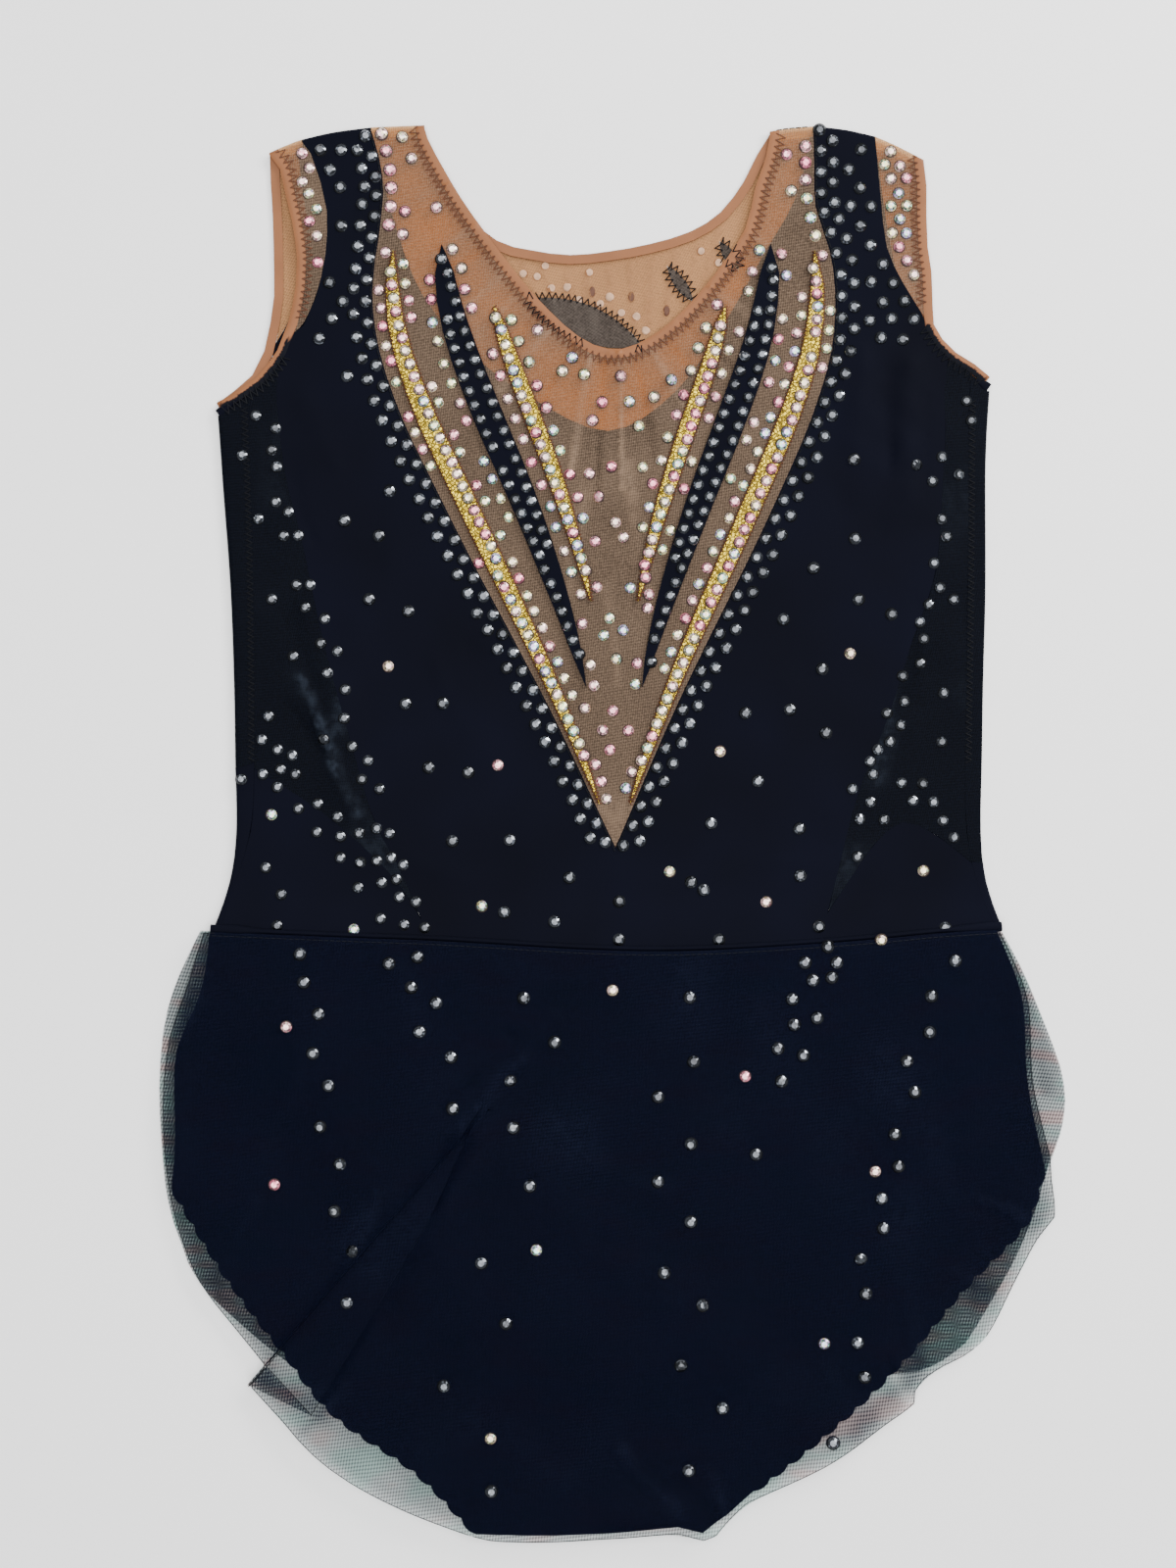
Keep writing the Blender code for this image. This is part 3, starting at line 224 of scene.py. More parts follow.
def foil(name):
    """Crackled metallic foil on stretch cloth."""
    nodes = Nodes(name)
    flakes = nodes.add("TexVoronoi", settings={"feature": "DISTANCE_TO_EDGE"},
                       Vector=nodes.place(), Scale=1 / (1.5 * MM), Randomness=1.0)
    cracks = nodes.ramp(flakes, (0.03, 0.0), (0.16, 1.0))
    # Painted highlight and shade: the flakes' lighter and darker patches stand in for how the crinkled
    # foil catches the light, on the same noise that tilts them by bump.
    patches = nodes.noise(1.6, 3.0)
    painted_flake_light = nodes.ramp(patches, (0.38, (0.30, 0.20, 0.010)), (0.62, (0.80, 0.58, 0.055)))
    shade = nodes.add("MixRGB", Fac=cracks, Color1=(0.09, 0.055, 0.003, 1.0), Color2=painted_flake_light)
    tilt = nodes.bump(patches, 0.9, 0.8, nodes.bump(cracks, 0.8, 0.2))
    return nodes.principled(shade, Metallic=0.8, Roughness=0.38, Normal=tilt)


def thread(name, colour, shine=0.4):
    nodes = Nodes(name)
    shade = nodes.ramp(nodes.noise(1.5, 2.0), (0.3, scaled(colour, 0.7)), (0.7, colour))
    return nodes.principled(shade, Roughness=0.65, Specular_IOR_Level=shine,
                            Normal=nodes.bump(nodes.noise(0.3), 0.4, 0.05))


def crystal(name, low, *stops, metallic, roughness):
    """Foil-backed crystal: each face with its own tint, and a painted brightness, from low up, that stands
    in for the reflections and glints of its facets.
    """
    nodes = Nodes(name)
    tint = nodes.ramp(nodes.attribute("tint"), *stops)
    facet = nodes.attribute("facet")
    tint = nodes.add("MixRGB", settings={"blend_type": "MULTIPLY"}, Fac=1.0, Color1=tint,
                     Color2=nodes.ramp(facet, (0.0, low), (0.5, 0.5 * (low + 0.6)), (1.0, 1.0)))
    return nodes.principled(tint, Metallic=metallic, Roughness=roughness, Coat_Weight=0.35,
                            Coat_Roughness=0.05)


NAVY = (0.0007, 0.0009, 0.0034)
TEAL, ROSE = (0.80, 0.95, 0.91), (0.97, 0.86, 0.84)
# The sheer skirt's thread colour, the painted highlight on its fold ridges, the tint seen through it, and
# its cover.
SHEER = ((0.0019, 0.0027, 0.0088), (0.0032, 0.0046, 0.0125), (0.90, 0.95, 0.94), 0.53)
# In each mesh cloth the second colour is the painted highlight on the ridges of its folds.
MATERIALS = {
    "navy": jersey("navy_jersey", NAVY),
    "skirt_opaque": jersey("skirt_jersey", (0.0009, 0.0013, 0.0060)),
    "nude": mesh_cloth("nude_mesh", (0.190, 0.128, 0.086), (0.26, 0.172, 0.113), (1.0, 0.76, 0.50), 0.38,
                       0.1, 0.1),
    "nude_back": mesh_cloth("nude_back_mesh", (0.19, 0.090, 0.042), (0.24, 0.115, 0.054),
                            (0.90, 0.66, 0.44), 0.56, 0.5, 0.1),
    "black_mesh": mesh_cloth("black_mesh", (0.0010, 0.0016, 0.0040), (0.012, 0.016, 0.024),
                             (0.25, 0.32, 0.45), 0.88, 0.2, 0.05),
    "leaf": mesh_cloth("leaf_mesh", (0.052, 0.041, 0.034), (0.080, 0.064, 0.052), (0.60, 0.47, 0.37), 0.76,
                       0.8, 0.05),
    "sheer": mesh_cloth("sheer_mesh", *SHEER, 0.15, 0.03, 1.15, 0.6, (TEAL, ROSE)),
    "sheer_back": mesh_cloth("sheer_back_mesh", *SHEER, 0.35, 0.03, 1.15, 0.6, (ROSE, TEAL)),
    "satin": satin("satin_binding", (0.205, 0.078, 0.030), NAVY),
    "gold": foil("gold_foil"),
    "brown_thread": thread("brown_thread", (0.085, 0.026, 0.008)),
    "black_thread": thread("black_thread", (0.0022, 0.0026, 0.0045), 0.12),
    "hem_thread": thread("hem_thread", (0.0012, 0.0020, 0.0045), 0.2),
    "crystal_clear": crystal("crystal_clear", 0.06, (0.0, (0.14, 0.15, 0.17)), (1.0, (0.42, 0.45, 0.50)),
                             metallic=0.95, roughness=0.12),
    "crystal_ab": crystal("crystal_ab", 0.10, (0.0, (1.0, 0.26, 0.38)), (0.3, (1.0, 0.58, 0.60)),
                          (0.55, (1.0, 0.82, 0.66)), (0.75, (0.95, 0.84, 0.36)),
                          (0.88, (0.36, 0.90, 0.66)), (1.0, (0.80, 0.60, 1.0)), metallic=0.55,
                          roughness=0.2),
    "crystal_back": thread("crystal_back", (0.46, 0.27, 0.16)),
    "seat": thread("seat", (0.0012, 0.0015, 0.0030), 0.1),
    "foil_edge": thread("foil_edge", (0.030, 0.018, 0.014), 0.2),
}


def add_object(name, data):
    made = bpy.data.objects.new(name, data)
    bpy.context.scene.collection.objects.link(made)
    return made


def shade_soft(piece):
    piece.data.shade_smooth()
    piece.data.set_sharp_from_angle(angle=SHARP)


def finish_piece(name, mesh, cloth, nodes=(), smooth=True, levels=0):
    """Make the piece of a mesh in metres, with its material and body."""
    data = bpy.data.meshes.new(name)
    mesh.to_mesh(data)
    mesh.free()
    piece = add_object(name, data)
    if levels:
        soft = piece.modifiers.new("soft", "SUBSURF")
        soft.levels = soft.render_levels = levels
        bake(piece)
    if smooth:
        shade_soft(piece)
    piece.data.materials.clear()
    piece.data.materials.append(MATERIALS[cloth])
    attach(piece, "root")
    if nodes:
        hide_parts(*nodes)
    return piece


def bake(piece):
    """Apply a piece's modifiers."""
    shown = bpy.context.evaluated_depsgraph_get()
    data = bpy.data.meshes.new_from_object(piece.evaluated_get(shown))
    piece.modifiers.clear()
    old = piece.data
    piece.data = data
    bpy.data.meshes.remove(old)


def thicken(piece, thickness):
    """Give a shell its thickness in millimetres, inward."""
    wall = piece.modifiers.new("wall", "SOLIDIFY")
    wall.thickness = thickness * MM
    wall.offset = -1.0
    bake(piece)
    shade_soft(piece)


def solid_of(node):
    """A frame node's mesh, welded, in millimetres."""
    mesh = bmesh.new()
    mesh.from_mesh(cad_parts[node].data)
    mesh.transform(Matrix.Scale(1 / MM, 4))
    bmesh.ops.remove_doubles(mesh, verts=mesh.verts, dist=WELD)
    mesh.normal_update()
    return mesh


def spread(first, may_cross):
    """The faces reached from a face across the edges that may be crossed."""
    group, queue = {first}, [first]
    while queue:
        for edge in queue.pop().edges:
            if len(edge.link_faces) == 2 and may_cross(edge):
                for face in edge.link_faces:
                    if face not in group:
                        group.add(face)
                        queue.append(face)
    return group


def groups_of(faces, may_cross):
    """Faces in groups that hang together, the largest first, each in the order of the faces."""
    left, groups = list(faces), []
    while left:
        reached = spread(left[0], may_cross)
        groups.append([face for face in left if face in reached])
        left = [face for face in left if face not in reached]
    return sorted(groups, key=lambda group: -sum(face.calc_area() for face in group))


def outer_side(mesh, faces_up):
    """Delete all but the outer side of a wall."""
    sides = groups_of(mesh.faces, lambda edge: edge.calc_face_angle() < FOLD)[:2]
    spans = []
    for side in sides:
        heights = [vertex.co.z for face in side for vertex in face.verts]
        spans.append(max(heights) - min(heights))
    if abs(spans[0] - spans[1]) > ROLLED:
        outer = sides[0] if spans[0] > spans[1] else sides[1]
    else:
        leans = [sum(face.calc_area() * face.normal.z for face in side) for side in sides]
        outer = sides[0] if (leans[0] > leans[1]) == faces_up else sides[1]
    kept = set(outer)
    gone = [face for face in mesh.faces if face not in kept]
    bmesh.ops.delete(mesh, geom=gone, context="FACES")
    return mesh


def is_level(face, faces_up):
    """Whether a face belongs to a panel and not to cloth that rolls over an edge."""
    if faces_up:
        return face.normal.z > LEVEL_UP and min(v.co.z for v in face.verts) > FRONT_LEVEL - 0.05
    return face.normal.z < LEVEL_DOWN


def panels_of(mesh, faces_up, may_cross=lambda edge: True):
    """The level panels of a mesh, as groups of faces."""
    level = [face for face in mesh.faces if is_level(face, faces_up)]
    inside = set(level)
    return groups_of(level, lambda edge: may_cross(edge)
                     and all(face in inside for face in edge.link_faces))


def loops_of(faces):
    """The closed lines of vertices round a region, and which of their edges meet other faces."""
    region = set(faces)
    following, shared = {}, set()
    for face in faces:
        for loop in face.loops:
            others = [f for f in loop.edge.link_faces if f is not face]
            if not any(f in region for f in others):
                following.setdefault(loop.vert, []).append(loop.link_loop_next.vert)
                if others:
                    shared.add(frozenset((loop.vert, loop.link_loop_next.vert)))
    loops = []
    while following:
        start = next(iter(following))
        line, here = [], start
        while here in following:
            line.append(here)
            following[here], here = following[here][1:], following[here][0]
            if not following[line[-1]]:
                del following[line[-1]]
        loops.append(line)
    return sorted(loops, key=len, reverse=True), shared


def distance_to(points, runs):
    """How far each of an array of points is from the nearest of some straight runs."""
    nearest = np.full(len(points), np.inf)
    for a, b in runs:
        a, b = np.array(a), np.array(b)
        t = np.clip(((points - a) @ (b - a)) / max((b - a) @ (b - a), 1e-9), 0, 1)
        nearest = np.minimum(nearest, np.hypot(*(a + t[:, None] * (b - a) - points).T))
    return nearest


def within(points, loops):
    """Which of an array of points lie inside loops of corners, and how far from them they are."""
    crossings = np.zeros(len(points), int)
    runs = [(loop[i - 1], loop[i]) for loop in loops for i in range(len(loop))]
    for (ax, ay), (bx, by) in runs:
        spans = (ay > points[:, 1]) != (by > points[:, 1])
        with np.errstate(divide="ignore", invalid="ignore"):
            across = ax + (points[:, 1] - ay) / (by - ay) * (bx - ax)
        crossings += spans & (across > points[:, 0])
    return crossings % 2 == 1, distance_to(points, runs)


def refill(mesh, faces, cell):
    """Swap the faces of a nearly level region for an even mesh inside the same outline."""
    bounds = loops_of(faces)[0]
    heights = BVHTree.FromPolygons([v.co[:] for v in mesh.verts],
                                   [[v.index for v in face.verts] for face in faces])
    flat = [[vertex.co.xy[:] for vertex in loop] for loop in bounds]
    low, high = np.min(flat[0], axis=0), np.max(flat[0], axis=0)
    rise = cell * math.sqrt(3) / 2
    lattice = np.array([((column + 0.5 * (row % 2)) * cell, row * rise)
                        for row in range(math.floor(low[1] / rise), math.ceil(high[1] / rise) + 1)
                        for column in range(math.floor(low[0] / cell) - 1,
                                            math.ceil(high[0] / cell) + 1)])
    lies_in, away = within(lattice, flat)
    lattice = lattice[lies_in & (away > cell * 0.5)]
    points = [Vector(point) for loop in flat for point in loop] + [Vector(p) for p in lattice]
    edges, first = [], 0
    for loop in flat:
        edges += [(first + i, first + (i + 1) % len(loop)) for i in range(len(loop))]
        first += len(loop)
    made, _, triangles, sources, *_ = delaunay_2d_cdt(points, edges, [], 1, 1e-5)
    corners = [vertex for loop in bounds for vertex in loop]
    upward = sum(face.normal.z for face in faces) > 0
    vertices = []
    for point, source in zip(made, sources):
        known = [i for i in source if i < len(corners)]
        if known:
            vertices.append(corners[known[0]])
            continue
        hit = heights.ray_cast(Vector((*point, 100.0)), Vector((0, 0, -1)))[0]
        if hit is None:
            hit = heights.find_nearest(Vector((*point, corners[0].co.z)))[0]
        vertices.append(mesh.verts.new((*point, hit.z)))
    bmesh.ops.delete(mesh, geom=list(faces), context="FACES_ONLY")
    middles = np.array([sum((made[i] for i in t), Vector((0, 0))) / 3 for t in triangles])
    kept = within(middles, flat)[0]
    for triangle, keep in zip(triangles, kept):
        if keep:
            order = triangle if upward else triangle[::-1]
            try:
                mesh.faces.new([vertices[i] for i in order])
            except ValueError:
                continue
    mesh.verts.index_update()
    mesh.normal_update()


def keep_corners(mesh):
    """Mark the sharp corners of the outline, and let its seams reach into the gaps."""
    layer = mesh.verts.layers.float.new("crease_vert")
    moves = []
    for vertex in mesh.verts:
        rims = [edge for edge in vertex.link_edges if edge.is_boundary]
        if len(rims) != 2:
            continue
        a, b = (edge.other_vert(vertex).co - vertex.co for edge in rims)
        if a.length and b.length and math.pi - a.angle(b) > CORNER:
            vertex[layer] = 1.0
        out = Vector((0, 0, 0))
        for edge in rims:
            loop = edge.link_loops[0]
            run = loop.link_loop_next.vert.co - loop.vert.co
            side = run.cross(loop.face.normal)
            if side.length:
                out += side.normalized()
        if out.length > 0.2:
            moves.append((vertex, out.normalized() * SEAM))
    for vertex, move in moves:
        vertex.co += move


def soft_step(value):
    """Rise smoothly from 0 to 1, for numbers and arrays."""
    value = np.clip(value, 0.0, 1.0)
    return value * value * (3 - 2 * value)


def waves(x, y, size, seed):
    """Gentle uneven swell over the cloth, from -1 to 1, about size millimetres from crest to crest."""
    chance = random.Random(seed)
    total = np.zeros_like(x)
    for _ in range(7):
        turn, phase = chance.uniform(0, math.pi), chance.uniform(0, 2 * math.pi)
        pitch = size * chance.uniform(0.7, 1.6)
        total += np.sin((x * math.cos(turn) + y * math.sin(turn)) * 2 * math.pi / pitch + phase)
    return total / 7


# Creases, in rows: start across, along, end across, along, height, half width.
# A height below 0 is a trough.
TORSO_CREASES = (
    (122, 190, 118, 150, 0.9, 5.0), (112, 186, 112, 146, -0.7, 4.0), (128, 176, 126, 138, -0.6, 3.5),
    (103, 196, 99, 160, 0.6, 5.0), (-126, 176, -112, 150, 0.5, 5.0), (-132, 150, -122, 118, -0.4, 4.0),
    (-72, 68, -52, 30, 0.5, 9.0), (-58, 76, -44, 50, -0.4, 7.0), (-104, 84, -112, 40, 0.5, 6.0),
    (-126, 62, -112, 24, 0.8, 3.0), (-134, 54, -118, 34, -0.5, 3.0), (-120, 44, -104, 8, 0.6, 3.0),
    (-130, 90, -122, 60, -0.5, 4.0), (126, 92, 120, 54, -0.5, 5.0), (116, 60, 108, 22, 0.5, 4.0),
    (-30, 6, 34, 2, 0.35, 10.0), (-100, -6, -60, -18, 0.3, 8.0), (60, -14, 104, -10, 0.3, 8.0),
    (70, 60, 84, 10, 0.4, 10.0), (-84, 150, -92, 110, 0.35, 8.0),
)
YOKE_CREASES = (
    (-9, 194, -17, 148, 0.9, 1.8), (-3, 194, -7, 132, -0.7, 1.8), (3, 195, 4, 140, 1.0, 1.7),
    (9, 193, 18, 152, -0.7, 1.8), (15, 197, 34, 166, 0.8, 1.9), (22, 200, 44, 176, -0.5, 1.8),
    (-16, 198, -34, 164, -0.6, 2.2), (-24, 206, -46, 180, 0.7, 2.0), (-30, 210, -54, 188, -0.5, 1.8),
    (-44, 228, -66, 208, 0.6, 2.0), (-38, 219, -58, 200, 0.5, 1.6), (-52, 238, -72, 224, -0.5, 1.8),
    (-56, 246, -74, 234, 0.6, 1.8), (28, 208, 50, 188, -0.5, 2.0), (40, 222, 60, 206, 0.6, 1.9),
    (48, 234, 66, 222, -0.5, 1.8), (54, 244, 70, 234, 0.5, 1.8), (-66, 264, -78, 258, 0.5, 1.8),
    (6, 150, 14, 96, 0.5, 3.5), (-12, 136, -20, 90, 0.4, 3.5), (-2, 100, 2, 60, 0.4, 3.0),
)
BACK_CREASES = (
    (-46, 238, -32, 204, 0.6, 1.8), (-38, 236, -26, 206, -0.5, 1.6), (-30, 234, -19, 198, 0.6, 1.9),
    (-20, 232, -12, 200, -0.5, 1.6), (-12, 230, -5, 196, 0.6, 1.9), (-2, 230, 2, 200, 0.5, 1.6),
    (7, 232, 9, 200, 0.6, 1.9), (16, 234, 14, 204, -0.5, 1.8), (26, 238, 20, 206, 0.6, 2.0),
    (36, 246, 29, 216, -0.5, 1.8), (46, 256, 39, 226, 0.6, 2.0), (-130, 250, -126, 220, 0.5, 1.8),
)
SKIRT_CREASES = (
    (-36, -92, -62, -120, 0.9, 3.0), (-42, -84, -70, -112, -0.8, 3.5), (-24, -76, -48, -102, 0.6, 5.0),
    (-96, -148, -108, -170, 0.8, 5.0), (-60, -136, -96, -182, 0.6, 9.0), (-28, -120, 20, -146, 0.5, 12.0),
    (-6, -166, 60, -176, -0.4, 12.0), (60, -70, 96, -150, 0.5, 14.0), (110, -90, 138, -150, 0.5, 10.0),
    (-120, -70, -140, -130, 0.5, 12.0), (-90, -50, -70, -100, 0.35, 12.0), (30, -60, 44, -120, 0.4, 14.0),
    (118, -150, 122, -212, 0.5, 8.0), (4, -252, 26, -276, 0.8, 5.0), (26, -262, 44, -284, -0.7, 3.0),
    (40, -262, 46, -278, 0.9, 2.6), (-60, -230, -20, -262, 0.4, 14.0), (-146, -150, -160, -180, 0.4, 6.0),
    (112, -216, 121, -232, -0.9, 2.2), (88, -220, 108, -244, 0.5, 5.0), (-110, -228, -130, -246, 0.5, 4.0),
    (150, -150, 172, -160, 0.8, 4.0), (140, -180, 160, -196, 0.5, 5.0), (169, -64, 178, -104, 1.0, 8.0),
    (124, -220, 99, -243, 1.0, 8.0), (177, -130, 174, -156, 0.7, 5.0), (-141, -221, -118, -235, 1.0, 7.0),
    (-168, -52, -176, -84, 0.8, 6.0),
)
SWELL = {"torso": 0.30, "yoke": 0.15, "back": 0.15, "skirt": 0.45}
SWELL_SIZE = {"torso": 70.0, "yoke": 30.0, "back": 30.0, "skirt": 60.0}
CREASES = {"torso": TORSO_CREASES, "yoke": YOKE_CREASES, "back": BACK_CREASES, "skirt": SKIRT_CREASES}


def crease_height(x, y, kinds):
    """Height that creases add at places on the cloth, in millimetres."""
    total = np.zeros_like(x)
    for kind in kinds:
        for n, (x1, y1, x2, y2, height, half) in enumerate(CREASES[kind]):
            run = np.array((x2 - x1, y2 - y1), float)
            t = ((x - x1) * run[0] + (y - y1) * run[1]) / (run @ run)
            held = np.clip(t, 0, 1)
            bend = 0.18 * half * np.sin(t * 5 + n)
            side = np.hypot(x1 + held * run[0] - x + bend * run[1] / np.hypot(*run),
                            y1 + held * run[1] - y - bend * run[0] / np.hypot(*run))
            width = half * (0.75 + 0.35 * np.sin(held * 3 + n * 1.7))
            total += height * np.exp(-(side / width) ** 2) * (0.8 + 0.2 * np.cos(t * 7 + n))
        total += SWELL[kind] * waves(x, y, SWELL_SIZE[kind], kind)
    return total


MOST_LIFT = 0.6                   # how far the back's creases lift it off the floor
FRONT_FROM = 1.4                  # what is lower than this is rolled over an edge or lies on the floor


def read_vertices(piece, what):
    """The places or normals of a piece's vertices, a row for each."""
    rows = np.zeros(len(piece.data.vertices) * 3)
    piece.data.vertices.foreach_get(what, rows)
    return rows.reshape(-1, 3)


def move_vertices(piece, points):
    piece.data.vertices.foreach_set("co", (points * MM).ravel())
    piece.data.update()


def set_attribute(piece, name, domain, values):
    layer = piece.data.attributes.new(name, "FLOAT", domain)
    layer.data.foreach_set("value", values)


def crease(piece, kinds, faces_up):
    """Press creases into a shell: in the front, into the part that lies on top."""
    points = read_vertices(piece, "co") / MM
    rise = crease_height(points[:, 0], points[:, 1], kinds)
    if faces_up:
        rise = rise * soft_step((points[:, 2] - FRONT_FROM) / 0.6)
    else:
        rise = np.clip(np.abs(rise), 0, MOST_LIFT) * (1 - soft_step((points[:, 2] - GAP) / 0.5))
    points[:, 2] += rise
    set_attribute(piece, "fold", "POINT", np.clip(rise, -1.0, 1.0))
    move_vertices(piece, points)


def leaves_line(edge, start, end):
    """Whether an edge doesn't lie on the line from start down to end."""
    run = end - start
    return any(abs((vertex.co.xy - start).cross(run)) / run.length > GAP
               or vertex.co.y < end.y - GAP for vertex in edge.verts)


def start_shell(node, cloth, groups, cell, mesh):
    """Mesh the panels of an outer side evenly, and soften it into a piece."""
    for group in groups:
        mesh.verts.index_update()
        refill(mesh, group, cell)
    loose = [vertex for vertex in mesh.verts if not vertex.link_faces]
    bmesh.ops.delete(mesh, geom=loose, context="VERTS")
    keep_corners(mesh)
    mesh.transform(Matrix.Scale(MM, 4))
    return finish_piece(node + "_cloth", mesh, cloth, [node], levels=1)


def make_shell(node, cloth, kinds, faces_up, shell, cell,
               may_cross=lambda edge: True):
    """A thin shell on the outer side of a node's wall, evenly meshed, softened and creased."""
    mesh = outer_side(solid_of(node), faces_up)
    mesh.verts.index_update()
    area = sum(face.calc_area() for face in mesh.faces)
    groups = [group for group in panels_of(mesh, faces_up, may_cross)
              if sum(face.calc_area() for face in group) > SMALL_PANEL]
    piece = start_shell(node, cloth, groups, cell, mesh)
    crease(piece, kinds, faces_up)
    if shell:
        thicken(piece, shell)
    return piece


FRONT_KINDS = ("torso", "yoke")
# node, cloth, slot, thickness, spacing of points, lies on; {} stands for each side in turn
FRONT_SHELLS = (
    ("front_body", "navy", "navy_jersey", SHELL, CELL, "back_body"),
    ("front_yoke", "nude", "nude_mesh", 0.0, FINE, "back_body"),
    ("front_arm_mesh_{}", "nude", "nude_mesh", 0.0, CELL, "back_arm_mesh_{}"),
    ("front_side_mesh_{}", "black_mesh", "black_mesh", 0.0, CELL, "back_side_mesh_{}"),
    ("gold_long_{}", "gold", "gold_foil", STRIPE_SHELL, STRIPE, "front_yoke"),
    ("gold_short_{}", "gold", "gold_foil", STRIPE_SHELL, STRIPE, "front_yoke"),
    ("navy_long_{}", "navy", "navy_jersey", STRIPE_SHELL, STRIPE, "front_yoke"),
)
# node, cloth, slot, creases, thickness, spacing of points
BACK_SHELLS = (
    ("back_body", "navy", "navy_jersey", "torso", SHELL, COARSE),
    ("back_yoke", "nude_back", "nude_mesh", "back", 0.0, FINE),
    ("back_leaf_large", "leaf", "navy_jersey", "back", SHELL, CELL),
    ("back_leaf_middle", "leaf", "navy_jersey", "back", SHELL, CELL),
    ("back_leaf_small", "leaf", "navy_jersey", "back", SHELL, CELL),
    ("back_arm_mesh_{}", "nude_back", "nude_mesh", "back", 0.0, CELL),
    ("back_side_mesh_{}", "black_mesh", "black_mesh", "torso", SHEER_SHELL, CELL),
    ("skirt_back", "sheer_back", "skirt_sheer", "skirt", 0.0, COARSE),
)
PLEAT_LINE = (Vector((-44, -30)), Vector((-40, -99.5)))


def each_side(rows):
    """The rows of a table, those with {} in the node's name once for each side."""
    for row in rows:
        for side in SIDES if "{}" in row[0] else ("",):
            yield [value.format(side) if isinstance(value, str) else value for value in row]


shells = []
for node, cloth, slot, shell, cell, under in each_side(FRONT_SHELLS):
    shells.append(make_shell(node, cloth, FRONT_KINDS, True, shell, cell))
shells.append(make_shell("skirt_under", "skirt_opaque", ["skirt"], True, SHELL, CELL))
shells.append(make_shell("skirt_front", "sheer", ["skirt"], True, 0.0, CELL,
                         lambda edge: leaves_line(edge, *PLEAT_LINE)))
for node, cloth, slot, kind, shell, cell in each_side(BACK_SHELLS):
    shells.append(make_shell(node, cloth, [kind], False, shell, cell))


class Surface:
    """The upper faces of the cloth, to set stones and stitches on."""

    def __init__(self, pieces):
        self.parts = []
        for piece in pieces:
            points = [tuple(c / MM for c in v.co) for v in piece.data.vertices]
            faces = [tuple(face.vertices) for face in piece.data.polygons]
            spans = np.array(points)
            self.parts.append((piece.name, spans.min(axis=0), spans.max(axis=0),
                               BVHTree.FromPolygons(points, faces)))

    def at(self, x, y, only=None):
        """Height and normal of the topmost cloth at a place, or None."""
        best = None
        for name, low, high, tree in self.parts:
            if only and not name.startswith(only):
                continue
            if low[0] <= x <= high[0] and low[1] <= y <= high[1]:
                spot, normal, _, _ = tree.ray_cast(Vector((x, y, 100)), Vector((0, 0, -1)))
                if spot is not None and (best is None or spot.z > best[0]):
                    best = spot.z, normal if normal.z > 0 else -normal
        return best


def outlines(node, faces_up=True):
    """The outline of each level panel of a node, and where on it the cloth rolls on over an edge."""
    mesh = outer_side(solid_of(node), faces_up)
    found = []
    for group in panels_of(mesh, faces_up):
        loops, shared = loops_of(group)
        line = [vertex.co.xy.copy() for vertex in loops[0]]
        ends = [i for i, vertex in enumerate(loops[0])
                if frozenset((vertex, loops[0][(i + 1) % len(loops[0])])) in shared]
        found.append((line, ends))
    mesh.free()
    return found


def between(line, start, end):
    """The part of a closed line from the point nearest one place on to that nearest another."""
    count = len(line)
    first = min(range(count), key=lambda i: (line[i] - Vector(start)).length)
    last = min(range(count), key=lambda i: (line[i] - Vector(end)).length)
    return [line[(first + i) % count] for i in range((last - first) % count + 1)]


def walk(line, pitch, start=0.0):
    """Places at even steps along a line, each with the direction to its right."""
    spots, left = [], start
    for a, b in zip(line, line[1:]):
        run = (b - a).length
        if run < 1e-6:
            continue
        ahead = (b - a) / run
        while left <= run:
            spots.append((a + ahead * left, Vector((ahead.y, -ahead.x))))
            left += pitch
        left -= run
    return spots


def beside(line, pitch, offset, start, jitter, seed):
    """Places in a row beside a line, offset to its right."""
    chance = random.Random(seed)
    return [spot + right * (offset + chance.uniform(-jitter, jitter))
            + Vector((right.y, -right.x)) * chance.uniform(-jitter, jitter)
            for spot, right in walk(line, pitch, start)]


def fill(line, pitch, margin, jitter, seed, share=1.0):
    """Places in a staggered grid inside a closed line."""
    chance = random.Random(seed)
    corners = [tuple(point) for point in line]
    low, high = np.min(corners, axis=0), np.max(corners, axis=0)
    rise = pitch * 0.87
    grid = [(low[0] + (column + 0.5 * (row % 2)) * pitch, low[1] + row * rise)
            for row in range(int((high[1] - low[1]) / rise) + 2)
            for column in range(int((high[0] - low[0]) / pitch) + 2)]
    grid = np.array([(x + chance.uniform(-jitter, jitter), y + chance.uniform(-jitter, jitter))
                     for x, y in grid])
    lies_in, away = within(grid, [corners])
    return [Vector(spot) for spot in grid[lies_in & (away > margin)] if chance.random() < share]


# Bindings: folded satin elastic, swept as a rounded band on the frame's ring
BINDING_CELL = 1.3
BINDING_CROWN = 0.45
BINDING_ROUND = 1.6               # width of the rounded edge
BINDING_GROOVE = 0.12             # depth of the groove at its seam
BINDING_WALL = 0.8
BINDING_TURNED = 1.9              # how much of a binding the jersey covers where it is turned over it
# node, middle of the opening, below which the jersey is turned over it
BINDINGS = (
    ("neck_binding", (-10, 275), -1000),
    ("armhole_binding_left", (-165, 235), 201),
    ("armhole_binding_right", (155, 235), 207),
)


def sewn_side(node, middle):
    """The long edge of a binding's front band away from the opening's middle."""
    line, (first, second, *_) = outlines(node)[0]
    count = len(line)
    chains = [[line[(after + 1 + i) % count] for i in range((until - after) % count)]
              for after, until in ((first, second), (second, first))]
    return max(chains, key=lambda chain: sum((p - Vector(middle)).length for p in chain) / len(chain))


